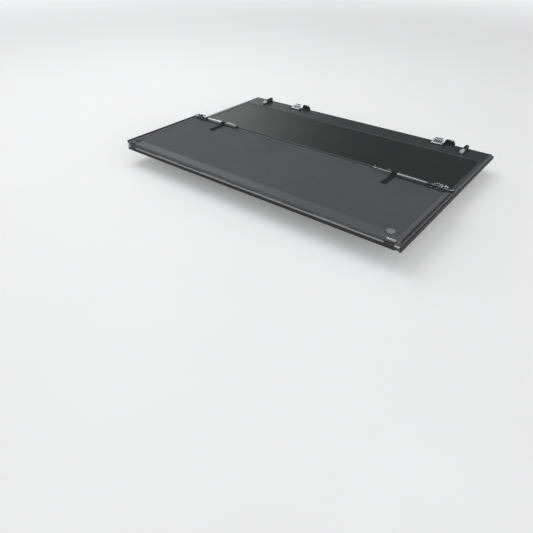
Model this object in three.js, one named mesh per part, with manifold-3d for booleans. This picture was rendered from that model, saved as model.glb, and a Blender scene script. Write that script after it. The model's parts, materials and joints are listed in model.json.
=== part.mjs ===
// Hard tri-fold tonneau cover for a short pickup bed, shown half open: the rear
// panel is turned over forwards and lies on the middle panel.
//
// Frame: +X is the truck's right side, +Y points to the cab, +Z is up, in mm.
// z = 0 is the plane of the bed rails and bulkhead that the seals rest on. The
// origin is on the centre line, under the bulkhead seal.

import * as THREE from "three";
import { mergeVertices } from "three/addons/utils/BufferGeometryUtils.js";
import Module from "manifold-3d";

// ---------------------------------------------------------------- dimensions
const GAP = 0.3; //          clearance between two pieces that meet
const PANEL_BOTTOM = 4; //   underside of a closed panel
const PANEL_TOP = 23; //     top of a closed panel
const FLANGE = 2; //         thickness of a rail's flanges
const WALL = 1.8; //         wall of a rail's hollow box
const SKIN = 1.2; //         thickness of one aluminium skin
const SKIN_BOTTOM = PANEL_BOTTOM + FLANGE + GAP; // underside of the sandwich
const SKIN_TOP = PANEL_TOP - FLANGE - GAP; //       its top
const OUTSIDE = 900; //      an x past every panel's side, for cutting tools

const HALF_SEAL = 820; //    centre line to the outside of a side seal
const HALF_RAIL = 812; //    centre line to the outer face of a side rail
const HALF_CROSS = 797.6; // half length of the rails that run across
const SIDE_BOX = 14; //      width of a side rail's hollow box
const SIDE_LIP = 12; //      how far its flanges reach over the sandwich
const SIDE_BOX_INNER = HALF_RAIL - SIDE_BOX;
const SIDE_LIP_INNER = SIDE_BOX_INNER - SIDE_LIP;
const EDGE_RADIUS = 8; //    rounding along a side rail's outer top edge
const SEAL_OVERRUN = 27; //  how far side seals run on beside the spacer

const HEADER_FRONT = 6; //   header's front face
const HEADER_EDGE = -129; // header's rear flange edge
const HEADER_WEB = HEADER_EDGE + 12; // rear wall of the header, in from that edge

const HINGE_RAIL_BOX = 38; // width of a hinge rail's hollow box
const HINGE_RAIL_LIP = 14; // its lower flange
const HINGE_RAIL_WIDTH = HINGE_RAIL_BOX + HINGE_RAIL_LIP;
const HINGE_BOX_TOP = SKIN_TOP - SKIN - GAP; // top of its box
const UPSTAND = 3; //        lip beside the hinge that covers the top skin's end
const TAIL_BOX = 10; //      width of the tail rail's hollow box
const TAIL_LIP = 6; //       its flanges

const HINGE_GAP = 5; //      hinge axis to a rail's face
const BARREL_RADIUS = 4;
const BORE_RADIUS = 2.6; //  hole in the barrel
const ROD_RADIUS = 2.2; //   hinge rod
const BARREL_COUNT = 9; //   barrels along one hinge, shared by its two rails
const HINGE_Z = 25.5; //     every axis: half way between two stacked panels
// Hinges: y of the axis and half the length that the barrels take up.
const SPACER_FRONT = { y: -538.5, half: 784 };
const SPACER_REAR = { y: -583.5, half: 784 };
const REAR_HINGE = { y: -1137, half: 746 };

const FREE_EDGE = -594; //   rear panel's free edge while it lies on the middle panel
const TAIL_FACE = 2 * REAR_HINGE.y - FREE_EDGE; // the same edge when closed
const UNDERSIDE = 2 * HINGE_Z - PANEL_BOTTOM; // upturned underside of its rails
const MOUNT_Z = UNDERSIDE + GAP; // underside of the hardware fixed to it

// ----------------------------------------------------------------- materials
const standard = (settings) => new THREE.MeshStandardMaterial(settings);
const MATERIALS = {
  skin: standard({ color: 0x3a3d3f, roughness: 0.62, metalness: 0.25 }),
  frame: standard({ color: 0x4b4f52, roughness: 0.5, metalness: 0.35 }),
  foam: standard({ color: 0xd8d2c0, roughness: 0.95, metalness: 0 }),
  rubber: standard({ color: 0x1b1a19, roughness: 0.85, metalness: 0 }),
  steel: standard({ color: 0xb9bcbe, roughness: 0.32, metalness: 1 }),
  chrome: standard({ color: 0xe6e8ea, roughness: 0.12, metalness: 1 }),
  cast: standard({ color: 0x2c2d2e, roughness: 0.45, metalness: 0.6 }),
  webbing: standard({ color: 0x141414, roughness: 0.9, metalness: 0 }),
  zinc: standard({ color: 0x8f9396, roughness: 0.4, metalness: 0.9 }),
};

// ------------------------------------------------------------ solid modelling
const wasm = await Module();
wasm.setup();

function toSolid(shape) {
  if (!shape.isBufferGeometry) return shape;
  const bare = shape.clone();
  bare.deleteAttribute("normal");
  bare.deleteAttribute("uv");
  const welded = mergeVertices(bare, 1e-4);
  return new wasm.Manifold(
    new wasm.Mesh({
      numProp: 3,
      vertProperties: new Float32Array(welded.attributes.position.array),
      triVerts: new Uint32Array(welded.index.array),
    }),
  );
}

function toGeometry(solid) {
  const mesh = solid.getMesh();
  const indexed = new THREE.BufferGeometry();
  const vertices = new Float32Array(mesh.vertProperties);
  indexed.setAttribute("position", new THREE.BufferAttribute(vertices, 3));
  indexed.setIndex(new THREE.BufferAttribute(new Uint32Array(mesh.triVerts), 1));
  const flat = indexed.toNonIndexed();
  flat.computeVertexNormals();
  return flat;
}

// Both take geometries or solids and give a solid.
const join = (...shapes) => shapes.map(toSolid).reduce((sum, next) => sum.add(next));
const cut = (shape, ...tools) =>
  tools.map(toSolid).reduce((rest, tool) => rest.subtract(tool), toSolid(shape));

// The two ends of each range may come in either order.
const box = (x0, x1, y0, y1, z0, z1) =>
  new THREE.BoxGeometry(Math.abs(x1 - x0), Math.abs(y1 - y0), Math.abs(z1 - z0)).translate(
    (x0 + x1) / 2,
    (y0 + y1) / 2,
    (z0 + z1) / 2,
  );

// Outlines are turned to run anticlockwise and holes clockwise.
function shapeOf(points, holes = []) {
  const turned = (list, anticlockwise) => {
    const vectors = list.map(([a, b]) => new THREE.Vector2(a, b));
    return THREE.ShapeUtils.area(vectors) > 0 === anticlockwise ? vectors : vectors.reverse();
  };
  const shape = new THREE.Shape(turned(points, true));
  for (const hole of holes) shape.holes.push(new THREE.Path(turned(hole, false)));
  return shape;
}
const extruded = (points, depth, holes) =>
  new THREE.ExtrudeGeometry(shapeOf(points, holes), { depth, bevelEnabled: false, steps: 1 });

// A profile in (y, z) drawn out along X; x0 and x1 may come in either order.
const alongX = (points, x0, x1, holes) =>
  extruded(points, Math.abs(x1 - x0), holes).applyMatrix4(
    new THREE.Matrix4().set(0, 0, 1, Math.min(x0, x1), 1, 0, 0, 0, 0, 1, 0, 0, 0, 0, 0, 1),
  );
// A profile in (x, z) drawn out along Y.
const alongY = (points, y0, y1) =>
  extruded(points, y1 - y0).applyMatrix4(
    new THREE.Matrix4().set(1, 0, 0, 0, 0, 0, -1, y1, 0, 1, 0, 0, 0, 0, 0, 1),
  );
// A profile in (x, y) drawn out along Z.
const alongZ = (points, z0, z1, holes) => extruded(points, z1 - z0, holes).translate(0, 0, z0);

const circle = (radius, a, b, segments) =>
  Array.from({ length: segments }, (_, i) => {
    const angle = (2 * Math.PI * (i + 0.5)) / segments;
    return [a + radius * Math.cos(angle), b + radius * Math.sin(angle)];
  });
const rodX = (radius, x0, x1, y, z, segments) => alongX(circle(radius, y, z, segments), x0, x1);
const rodY = (radius, y0, y1, x, z, segments) => alongY(circle(radius, x, z, segments), y0, y1);
const rodZ = (radius, z0, z1, x, y, segments) => alongZ(circle(radius, x, y, segments), z0, z1);

// Outline of a strip of constant width along a smooth line through the points.
function ribbon(points, width, steps) {
  const curve = new THREE.CatmullRomCurve3(points.map(([x, y]) => new THREE.Vector3(x, y, 0)));
  const left = [];
  const right = [];
  for (let i = 0; i <= steps; i++) {
    const point = curve.getPoint(i / steps);
    const across = curve.getTangent(i / steps).multiplyScalar(width / 2);
    left.push([point.x - across.y, point.y + across.x]);
    right.push([point.x + across.y, point.y - across.x]);
  }
  return [...left, ...right.reverse()];
}

// `side` is -1 on the left and +1 on the right; shapes are drawn for the right.
const SIDES = [["left", -1], ["right", 1]];
const mirrorX = (points, side) => points.map(([x, y]) => [side * x, y]);
const sideBox = (side, x0, x1, ...ranges) => box(side * x0, side * x1, ...ranges);

const root = new THREE.Group();
function add(parent, name, shape, material) {
  const mesh = new THREE.Mesh(shape.isBufferGeometry ? shape : toGeometry(shape), material);
  mesh.name = name;
  parent.add(mesh);
}
function addGroup() {
  const group = new THREE.Group();
  root.add(group);
  return group;
}

// ------------------------------------------------------- rails, skins, seals
// A hinge rail: a hollow box under the top skin, an upstand at the grooved
// hinge face and a flange under the sandwich. `dir` is +1 when the panel lies
// on the face's +Y side.
function hingeRail(face, dir) {
  const grooveDepth = 2.2;
  const at = (depth, z) => [face + dir * depth, z];
  const profile = [
    at(1, PANEL_BOTTOM), at(HINGE_RAIL_WIDTH - 1.2, PANEL_BOTTOM),
    at(HINGE_RAIL_WIDTH, PANEL_BOTTOM + 1.2), at(HINGE_RAIL_WIDTH, PANEL_BOTTOM + FLANGE),
    at(HINGE_RAIL_BOX, PANEL_BOTTOM + FLANGE), at(HINGE_RAIL_BOX, HINGE_BOX_TOP),
    at(UPSTAND, HINGE_BOX_TOP), at(UPSTAND, PANEL_TOP - 0.6), at(UPSTAND - 0.6, PANEL_TOP),
    at(1, PANEL_TOP), at(0, PANEL_TOP - 1),
    at(0, PANEL_BOTTOM + 9.5), at(grooveDepth, PANEL_BOTTOM + 8.7),
    at(grooveDepth, PANEL_BOTTOM + 5.3), at(0, PANEL_BOTTOM + 4.5), at(0, PANEL_BOTTOM + 1),
  ];
  const hollow = box(
    -OUTSIDE, OUTSIDE,
    face + dir * (WALL + grooveDepth), face + dir * (HINGE_RAIL_BOX - WALL),
    PANEL_BOTTOM + WALL, HINGE_BOX_TOP - WALL,
  );
  // The upstand stops short of the side rails' top flanges.
  const upstandEnd = (side) =>
    sideBox(side, SIDE_LIP_INNER - GAP, OUTSIDE, face - 60, face + 60, SKIN_TOP, 60);
  return cut(alongX(profile, -HALF_CROSS, HALF_CROSS), hollow, upstandEnd(1), upstandEnd(-1));
}

// The tail rail: a narrow hollow box and two flanges that clasp the sandwich.
function tailRail() {
  const width = TAIL_BOX + TAIL_LIP;
  const at = (depth, z) => [TAIL_FACE + depth, z];
  const profile = [
    at(1, PANEL_BOTTOM), at(width - 1.2, PANEL_BOTTOM), at(width, PANEL_BOTTOM + 1.2),
    at(width, PANEL_BOTTOM + FLANGE), at(TAIL_BOX, PANEL_BOTTOM + FLANGE),
    at(TAIL_BOX, PANEL_TOP - FLANGE), at(width, PANEL_TOP - FLANGE),
    at(width, PANEL_TOP - 1.2), at(width - 1.2, PANEL_TOP), at(1, PANEL_TOP),
    at(0, PANEL_TOP - 1), at(0, PANEL_BOTTOM + 1),
  ];
  const hollow = [
    at(WALL, PANEL_BOTTOM + WALL), at(TAIL_BOX - WALL, PANEL_BOTTOM + WALL),
    at(TAIL_BOX - WALL, PANEL_TOP - WALL), at(WALL, PANEL_TOP - WALL),
  ];
  return alongX(profile, -HALF_CROSS, HALF_CROSS, [hollow]);
}

// The header: a wide hollow plate across the cab end, with one inner rib.
function headerRail() {
  const front = HEADER_FRONT;
  const edge = HEADER_EDGE;
  const rib = { rear: -60, front: -57 };
  const profile = [
    [front - 1.5, PANEL_BOTTOM], [front, PANEL_BOTTOM + 1.5],
    [front, PANEL_TOP - 1.5], [front - 1.5, PANEL_TOP],
    [edge + 1.6, PANEL_TOP], [edge, PANEL_TOP - 1.2],
    [edge, PANEL_TOP - FLANGE], [HEADER_WEB, PANEL_TOP - FLANGE],
    [HEADER_WEB, PANEL_BOTTOM + FLANGE], [edge, PANEL_BOTTOM + FLANGE],
    [edge, PANEL_BOTTOM + 1.2], [edge + 1.6, PANEL_BOTTOM],
  ];
  const hollow = (y0, y1) =>
    box(-OUTSIDE, OUTSIDE, y0, y1, PANEL_BOTTOM + WALL, PANEL_TOP - WALL);
  return cut(
    alongX(profile, -HALF_CROSS, HALF_CROSS),
    hollow(HEADER_WEB + WALL, rib.rear),
    hollow(rib.front, front - WALL),
  );
}

// Adds every second barrel of a hinge to a rail, starting at `first`, each
// with a short web. `dir` is +1 when the rail lies on the axis's +Y side.
function withBarrels(rail, hinge, dir, first) {
  const pitch = (2 * hinge.half) / BARREL_COUNT;
  const endGap = 0.5;
  const pieces = [rail];
  for (let i = first; i < BARREL_COUNT; i += 2) {
    const x0 = -hinge.half + i * pitch + endGap;
    const x1 = -hinge.half + (i + 1) * pitch - endGap;
    const webStart = hinge.y + dir * 1.2;
    const webEnd = hinge.y + dir * (HINGE_GAP + 2.5);
    pieces.push(rodX(BARREL_RADIUS, x0, x1, hinge.y, HINGE_Z, 14));
    pieces.push(box(x0, x1, webStart, webEnd, PANEL_TOP - 1.4, PANEL_TOP - 0.1));
  }
  const bore = rodX(BORE_RADIUS, -hinge.half - 1, hinge.half + 1, hinge.y, HINGE_Z, 12);
  return cut(join(...pieces), bore);
}

const hingeRod = (halfLength, hinge) =>
  rodX(ROD_RADIUS, -halfLength, halfLength, hinge.y, HINGE_Z, 12);

// The rounded outer top edge of a side rail: x, z from low to high.
const ROUNDED_EDGE = Array.from({ length: 6 }, (_, i) => {
  const angle = (Math.PI / 2) * (i / 5);
  return [
    HALF_RAIL - EDGE_RADIUS + EDGE_RADIUS * Math.cos(angle),
    PANEL_TOP - EDGE_RADIUS + EDGE_RADIUS * Math.sin(angle),
  ];
});

// Where a side rail's flanges stop at a cross rail: both flanges at the header
// and tail rail, only the lower one at a hinge rail.
const HINGE_CUT = { length: HINGE_RAIL_WIDTH + GAP, top: 12 };
const HEADER_CUT = { length: HEADER_FRONT - HEADER_EDGE + GAP, top: 40 };
const TAIL_CUT = { length: TAIL_BOX + TAIL_LIP + GAP, top: 40 };

// A side rail: a box along the panel's edge with closed ends, opened to the
// sandwich channel by two windows, and two flanges.
function sideRail(side, rear, front, rearCut, frontCut) {
  const outer = HALF_RAIL;
  const inner = SIDE_BOX_INNER;
  const lip = SIDE_LIP_INNER;
  const endWall = 3;
  const windowNear = 60; // from the rail's end
  const windowFar = 90;
  const profile = [
    [lip + 1.2, PANEL_BOTTOM], [outer - 1.5, PANEL_BOTTOM], [outer, PANEL_BOTTOM + 1.5],
    ...ROUNDED_EDGE,
    [lip + 1.2, PANEL_TOP], [lip, PANEL_TOP - 1.2], [lip, PANEL_TOP - FLANGE],
    [inner, PANEL_TOP - FLANGE], [inner, PANEL_BOTTOM + FLANGE],
    [lip, PANEL_BOTTOM + FLANGE], [lip, PANEL_BOTTOM + 1.2],
  ];
  // The hollow is stepped: wide below the rounded edge, narrow beside it.
  const hollow = (x1, top) =>
    sideBox(side, inner + WALL, x1, rear + endWall, front - endWall, PANEL_BOTTOM + WALL, top);
  const window = (y0, y1) => sideBox(side, inner - 1, inner + WALL + 1, y0, y1, 9, 18);
  const flangeCut = (y0, y1, top) => sideBox(side, lip - 1, inner, y0, y1, 0, top);
  return cut(
    alongY(mirrorX(profile, side), rear, front),
    hollow(outer - WALL, PANEL_TOP - EDGE_RADIUS - 0.5),
    hollow(outer - EDGE_RADIUS + 1.5, PANEL_TOP - WALL),
    window(rear + windowNear, rear + windowFar),
    window(front - windowFar, front - windowNear),
    flangeCut(rear - 1, rear + rearCut.length, rearCut.top),
    flangeCut(front - frontCut.length, front + 1, frontCut.top),
  );
}

// The sandwich: two aluminium skins and the core between them. The top skin
// has its own ends, as it runs on over the hinge rails.
function addSandwich(parent, name, rear, front, topRear, topFront) {
  const half = SIDE_BOX_INNER - 2 * GAP;
  const layer = (...ranges) => box(-half, half, ...ranges);
  const topSkin = layer(topRear, topFront, SKIN_TOP - SKIN, SKIN_TOP);
  const core = layer(rear, front, SKIN_BOTTOM + SKIN + GAP, SKIN_TOP - SKIN - GAP);
  const bottomSkin = layer(rear, front, SKIN_BOTTOM, SKIN_BOTTOM + SKIN);
  add(parent, name + "_top_skin", topSkin, MATERIALS.skin);
  add(parent, name + "_core", core, MATERIALS.foam);
  add(parent, name + "_bottom_skin", bottomSkin, MATERIALS.skin);
}

// Side seal: a rubber section along the rail's outer face. x, z
const SIDE_SEAL = [
  [HALF_RAIL + GAP, 0], [HALF_SEAL, 0], [HALF_SEAL, 3], [HALF_SEAL - 1.5, 7],
  [HALF_SEAL - 4, 13.5], [HALF_SEAL - 5.2, 15], [HALF_RAIL + GAP, 15],
];
const sideSeal = (side, y0, y1) => alongY(mirrorX(SIDE_SEAL, side), y0, y1);

// ------------------------------------------------- front panel and its fittings
// Bulkhead and side seals in one piece, U-shaped in plan.
function frontSeal(rear) {
  const profile = [ // y, z
    [-12, 0], [13, 0], [13, 2], [10.5, 6], [9, 13], [8, 14.5], [HEADER_FRONT + GAP, 14.5],
    [HEADER_FRONT + GAP, PANEL_BOTTOM - GAP], [-12, PANEL_BOTTOM - GAP],
  ];
  const bulkhead = alongX(profile, -HALF_SEAL, HALF_SEAL);
  const sideRun = (side) => sideSeal(side, rear - SEAL_OVERRUN, 12);
  return join(bulkhead, sideRun(-1), sideRun(1));
}

// Rest bumper: a rubber log on a flat foot, with a wedge-ended nose to the rear.
function restBumper(side) {
  const radius = 12;
  const x = side * 675;
  const foot = PANEL_TOP + GAP;
  const z = foot + radius;
  const wedge = [[-97, z - 4], [-80, z + 12], [-97, z + 12]]; // y, z
  return join(
    rodY(radius, -70, -3, x, z, 20),
    cut(rodY(10.6, -96, -69, x, z, 20), alongX(wedge, x - 20, x + 20)),
    box(x - 9, x + 9, -92, -6, foot, z - 4),
  );
}

// Front clamp: a bracket under the header and a jaw that rides on a bolt and
// bears up against the underside of the bed rail's inner lip.
const CLAMP = { x: 700, y: -60 }; // the bolt's axis
const clampSlab = (side, x0, x1, halfDepth, z0, z1) =>
  sideBox(side, x0, x1, CLAMP.y - halfDepth, CLAMP.y + halfDepth, z0, z1);
const clampRod = (side, radius, z0, z1, segments) =>
  rodZ(radius, z0, z1, side * CLAMP.x, CLAMP.y, segments);
const CLAMP_HOLE_RADIUS = 5;

function clampBracket(side) {
  const top = PANEL_BOTTOM - GAP;
  const bottom = -66;
  return cut(
    join(
      clampSlab(side, 660, 745, 25, top - 4, top),
      clampSlab(side, 660, 665, 25, bottom, top - 1),
      clampSlab(side, 660, 712, 16, bottom, bottom + 5),
      clampSlab(side, CLAMP.x - 14, CLAMP.x + 14, 14, -14, top - 2),
    ),
    clampRod(side, CLAMP_HOLE_RADIUS, -70, 1, 16),
  );
}

const clampJaw = (side) =>
  cut(
    join(
      clampSlab(side, 684, 770, 20, -46, -38),
      clampSlab(side, CLAMP.x - 16, CLAMP.x + 16, 12, -54, -44),
      clampSlab(side, 758, 770, 20, -40, -30),
    ),
    clampRod(side, CLAMP_HOLE_RADIUS, -60, -30, 16),
  );

const clampBolt = (side) =>
  join(clampRod(side, 4.5, -78, -2, 16), clampRod(side, 9, -78, -70, 6));

// Strap anchors on the header. Both sides use the same part, unmirrored.
const ANCHORS = [["right", 517], ["left", -451]]; // x of each buckle's middle
const BUCKLE_PIVOT = { y: -42, z: 28.2 };
const BUCKLE_TILT = 23; // degrees

// Anchor: a foot with an upright lug at its front edge and two ears.
function strapAnchor(x) {
  const { y, z } = BUCKLE_PIVOT;
  const foot = PANEL_TOP + GAP;
  const footPart = (x0, x1, y0, y1) => box(x + x0, x + x1, y0, y1, foot, foot + 2);
  const lug = [ // x from the buckle's middle, z
    [29, foot + 0.5], [91, foot + 0.5], [89, 36], [85, 43.5], [79, 47.4], [73, 48.5],
    [46, 48.5], [39, 46.5], [34, 40],
  ].map(([dx, height]) => [x + dx, height]);
  const earProfile = [
    [y - 6, foot + 1], [y + 6, foot + 1], [y + 5, z + 4], [y, z + 5.5], [y - 5, z + 4],
  ];
  const ear = (start) => alongX(earProfile, x + start, x + start + 2.5);
  return cut(
    join(
      footPart(-37, 40, y - 9, y + 9),
      footPart(29, 40, y - 9, 4),
      footPart(29, 91, -18, 4),
      alongY(lug, 0, 4),
      ear(-36.5),
      ear(34),
    ),
    rodX(2.9, x - 40, x + 40, y, z, 12),
    rodY(3, -4, 8, x + 72, 42.5, 10),
  );
}

// Buckle, drawn flat with its pivot bar on the X axis: four slanted slots, and
// a straight slot for the strap along its narrower free edge. All x, y.
const BUCKLE_OUTLINE = [
  [-28.5, 1], [28.5, 1], [30, 3], [29.5, 31], [27, 35], [23.5, 36.5], [22.5, 45.5],
  [20.5, 48], [-20.5, 48], [-22.5, 45.5], [-23.5, 36.5], [-27, 35], [-29.5, 31], [-30, 3],
];
const SLANTED_SLOT = [[0, 9], [4, 7], [7.2, 9], [10, 27], [8.8, 30.5], [5.6, 31], [2.8, 28]];
const STRAP_SLOT = [
  [-17, 37.3], [17, 37.3], [18, 38.6], [18, 42], [17, 43.2], [-17, 43.2], [-18, 42], [-18, 38.6],
];
function buckle() {
  const firstSlot = -20.5;
  const slotPitch = 11.2;
  const halfThickness = 1.6;
  const slots = [];
  for (let i = 0; i < 4; i++)
    slots.push(SLANTED_SLOT.map(([x, y]) => [firstSlot + slotPitch * i + x, y]));
  slots.push(STRAP_SLOT);
  return cut(
    join(
      alongZ(BUCKLE_OUTLINE, -halfThickness, halfThickness, slots),
      rodX(2.5, -38, 38, 0, 0, 12),
      box(-26, 26, -1.5, 4, -halfThickness, halfThickness),
    ),
    box(-60, 60, -20, -2.6, -10, 10),
  );
}

// The buckle pivots between the anchor's ears and is tipped up towards the cab.
function addStrapAnchor(parent, name, x) {
  add(parent, "strap_anchor_" + name, strapAnchor(x), MATERIALS.cast);
  const pivot = new THREE.Group();
  pivot.position.set(x, BUCKLE_PIVOT.y, BUCKLE_PIVOT.z);
  pivot.rotation.x = THREE.MathUtils.degToRad(BUCKLE_TILT);
  parent.add(pivot);
  add(pivot, "buckle_" + name, buckle(), MATERIALS.chrome);
}

function addFrontPanel() {
  const group = addGroup();
  const rear = SPACER_FRONT.y + HINGE_GAP;
  const skinFront = HEADER_WEB - GAP;
  const skinRear = rear + HINGE_RAIL_BOX + GAP;
  addSandwich(group, "front_panel", skinRear, skinFront, rear + UPSTAND + GAP, skinFront);
  add(group, "header_rail", headerRail(), MATERIALS.frame);
  const rearRail = withBarrels(hingeRail(rear, 1), SPACER_FRONT, 1, 0);
  add(group, "front_hinge_rail", rearRail, MATERIALS.frame);
  for (const [name, side] of SIDES) {
    const rail = sideRail(side, rear, HEADER_FRONT, HINGE_CUT, HEADER_CUT);
    add(group, "front_side_rail_" + name, rail, MATERIALS.frame);
  }
  add(group, "front_seal", frontSeal(rear), MATERIALS.rubber);
  for (const [name, side] of SIDES) {
    add(group, "rest_bumper_" + name, restBumper(side), MATERIALS.rubber);
    add(group, "front_clamp_bracket_" + name, clampBracket(side), MATERIALS.cast);
    add(group, "front_clamp_jaw_" + name, clampJaw(side), MATERIALS.cast);
    add(group, "front_clamp_bolt_" + name, clampBolt(side), MATERIALS.zinc);
  }
  for (const [name, x] of ANCHORS) addStrapAnchor(group, name, x);
}

// -------------------------------------------------------------------- spacer
// The short link between the front and middle panels. Its two axes leave room
// for the folded rear panel between the other two.
function hingeSpacer() {
  const rear = SPACER_REAR.y + HINGE_GAP;
  const front = SPACER_FRONT.y - HINGE_GAP;
  const wall = 2.5;
  const profile = [
    [rear, PANEL_BOTTOM + 1], [rear + 1, PANEL_BOTTOM],
    [front - 1, PANEL_BOTTOM], [front, PANEL_BOTTOM + 1],
    [front, PANEL_TOP - 1], [front - 1, PANEL_TOP],
    [rear + 1, PANEL_TOP], [rear, PANEL_TOP - 1],
  ];
  const tray = cut(
    alongX(profile, -800, 800),
    box(-786, 786, rear + wall, front - wall, PANEL_BOTTOM - 1, PANEL_TOP - wall),
  );
  // End blocks carry the side rails' rounded edge across both hinge gaps.
  const inner = 789.6;
  const endGap = 0.8;
  const endProfile = [
    [inner, PANEL_BOTTOM + 1], [inner + 1, PANEL_BOTTOM],
    [HALF_RAIL - 1.5, PANEL_BOTTOM], [HALF_RAIL, PANEL_BOTTOM + 1.5],
    ...ROUNDED_EDGE,
    [inner + 1, PANEL_TOP], [inner, PANEL_TOP - 1],
  ];
  const endBlock = (side) =>
    alongY(
      mirrorX(endProfile, side),
      SPACER_REAR.y - HINGE_GAP + endGap,
      SPACER_FRONT.y + HINGE_GAP - endGap,
    );
  const body = join(tray, endBlock(1), endBlock(-1));
  return withBarrels(withBarrels(body, SPACER_FRONT, -1, 1), SPACER_REAR, 1, 1);
}

function addSpacer() {
  add(root, "hinge_spacer", hingeSpacer(), MATERIALS.frame);
  add(root, "spacer_hinge_rod_front", hingeRod(788, SPACER_FRONT), MATERIALS.zinc);
  add(root, "spacer_hinge_rod_rear", hingeRod(788, SPACER_REAR), MATERIALS.zinc);
}

// -------------------------------------------------------------- middle panel
// Hinge rod with a stout end outside the last barrel on each side.
function rearHingeRod() {
  const stoutEnd = (x0, x1) => rodX(BARREL_RADIUS, x0, x1, REAR_HINGE.y, HINGE_Z, 16);
  return join(hingeRod(770, REAR_HINGE), stoutEnd(-790, -749), stoutEnd(749, 790));
}

function wiperSeal(rear) {
  const profile = [ // y, z
    [rear - GAP, PANEL_BOTTOM + 0.5], [rear - GAP, 19.5], [rear - 2.4, 19.2],
    [rear - 4.5, 13], [rear - 7, 7], [rear - 6, PANEL_BOTTOM + 0.5],
  ];
  return alongX(profile, -796, 796);
}

function addMiddlePanel() {
  const group = addGroup();
  const front = SPACER_REAR.y - HINGE_GAP;
  const rear = REAR_HINGE.y + HINGE_GAP;
  addSandwich(
    group,
    "middle_panel",
    rear + HINGE_RAIL_BOX + GAP,
    front - HINGE_RAIL_BOX - GAP,
    rear + UPSTAND + GAP,
    front - UPSTAND - GAP,
  );
  const frontRail = withBarrels(hingeRail(front, -1), SPACER_REAR, -1, 0);
  const rearRail = withBarrels(hingeRail(rear, 1), REAR_HINGE, 1, 0);
  add(group, "middle_front_hinge_rail", frontRail, MATERIALS.frame);
  add(group, "middle_rear_hinge_rail", rearRail, MATERIALS.frame);
  for (const [name, side] of SIDES) {
    const rail = sideRail(side, rear, front, HINGE_CUT, HINGE_CUT);
    const seal = sideSeal(side, rear, front + SEAL_OVERRUN);
    add(group, "middle_side_rail_" + name, rail, MATERIALS.frame);
    add(group, "middle_seal_" + name, seal, MATERIALS.rubber);
  }
  add(group, "rear_hinge_rod", rearHingeRod(), MATERIALS.steel);
  add(group, "hinge_wiper_seal", wiperSeal(rear), MATERIALS.rubber);
}

// ---------------------------------------------------------------- rear panel
// Its hinge rail's ends are notched, with a stud across each notch.
function rearHingeRail(face) {
  const inner = 750;
  const outer = 792;
  const notch = (side) =>
    sideBox(side, inner, outer, face + 4, face - 9, PANEL_BOTTOM - 4, PANEL_BOTTOM + 10.5);
  const stud = (side) =>
    rodX(4, side * (inner - 1), side * (outer + 1), face - 4.4, PANEL_BOTTOM + 5.4, 14);
  const rail = withBarrels(hingeRail(face, -1), REAR_HINGE, -1, 1);
  return join(cut(rail, notch(1), notch(-1)), stud(1), stud(-1));
}

// Tail and side seals in one piece, U-shaped in plan.
function rearSeal(front) {
  const tail = TAIL_FACE;
  const profile = [
    [tail - GAP, 0], [tail - GAP, 15], [tail - 2, 14], [tail - 5, 4], [tail - 5, 0],
  ];
  const strip = alongX(profile, -HALF_SEAL, HALF_SEAL);
  return join(strip, sideSeal(-1, tail - 2, front), sideSeal(1, tail - 2, front));
}

// Drawn closed, then turned half a turn about the rear hinge.
function addRearPanel() {
  const turn = addGroup();
  turn.position.set(0, REAR_HINGE.y, HINGE_Z);
  turn.rotation.x = Math.PI;
  const group = new THREE.Group();
  group.position.set(0, -REAR_HINGE.y, -HINGE_Z);
  turn.add(group);
  const front = REAR_HINGE.y - HINGE_GAP;
  const skinRear = TAIL_FACE + TAIL_BOX + GAP;
  const skinFront = front - HINGE_RAIL_BOX - GAP;
  addSandwich(group, "rear_panel", skinRear, skinFront, skinRear, front - UPSTAND - GAP);
  add(group, "rear_hinge_rail", rearHingeRail(front), MATERIALS.frame);
  add(group, "rear_tail_rail", tailRail(), MATERIALS.frame);
  for (const [name, side] of SIDES) {
    const rail = sideRail(side, TAIL_FACE, front, TAIL_CUT, HINGE_CUT);
    add(group, "rear_side_rail_" + name, rail, MATERIALS.frame);
  }
  add(group, "rear_seal", rearSeal(front), MATERIALS.rubber);
}

// --------------------------------------- hardware on the rear panel's underside
// Seven-lobed knob on the right that takes the load of the folded stack.
function cornerKnob() {
  const x = 745;
  const y = -1085;
  const steps = 42;
  const outline = [];
  for (let i = 0; i < steps; i++) {
    const angle = (Math.PI * 2 * i) / steps;
    const radius = 18.2 + 2.1 * Math.cos(7 * angle);
    outline.push([x + radius * Math.cos(angle), y + radius * Math.sin(angle)]);
  }
  return join(
    alongZ(outline, MOUNT_Z, UNDERSIDE + 4.5),
    rodZ(10, UNDERSIDE + 4, UNDERSIDE + 6, x, y, 18),
  );
}

// Latches: where each one's pieces start and end in x from the centre line.
const LATCHES = {
  left: { inner: 463, strap: [562, 588], guide: [596, 700] },
  right: { inner: 414, strap: [515, 541], guide: [546, 692] },
};
const LATCH_Y = -608; // centre line of both latch rods
const LATCH_Z = 57.5;
const PIN = { x: 760, y: -604 }; // pin of the crank and hook plate
const ROD_HOLE_RADIUS = 3.4;
const PIN_HOLE_RADIUS = 3.8;
const COLLAR_START = 88; // rod's collar, from the guide's inner end

// A cylinder on the latch rod's axis.
const latchTube = (side, radius, x0, x1, segments) =>
  rodX(radius, side * x0, side * x1, LATCH_Y, LATCH_Z, segments);
// A cylinder on the pin's axis, between two heights above the underside.
const pinRod = (side, radius, from, to, segments) =>
  rodZ(radius, UNDERSIDE + from, UNDERSIDE + to, side * PIN.x, PIN.y, segments);

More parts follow.
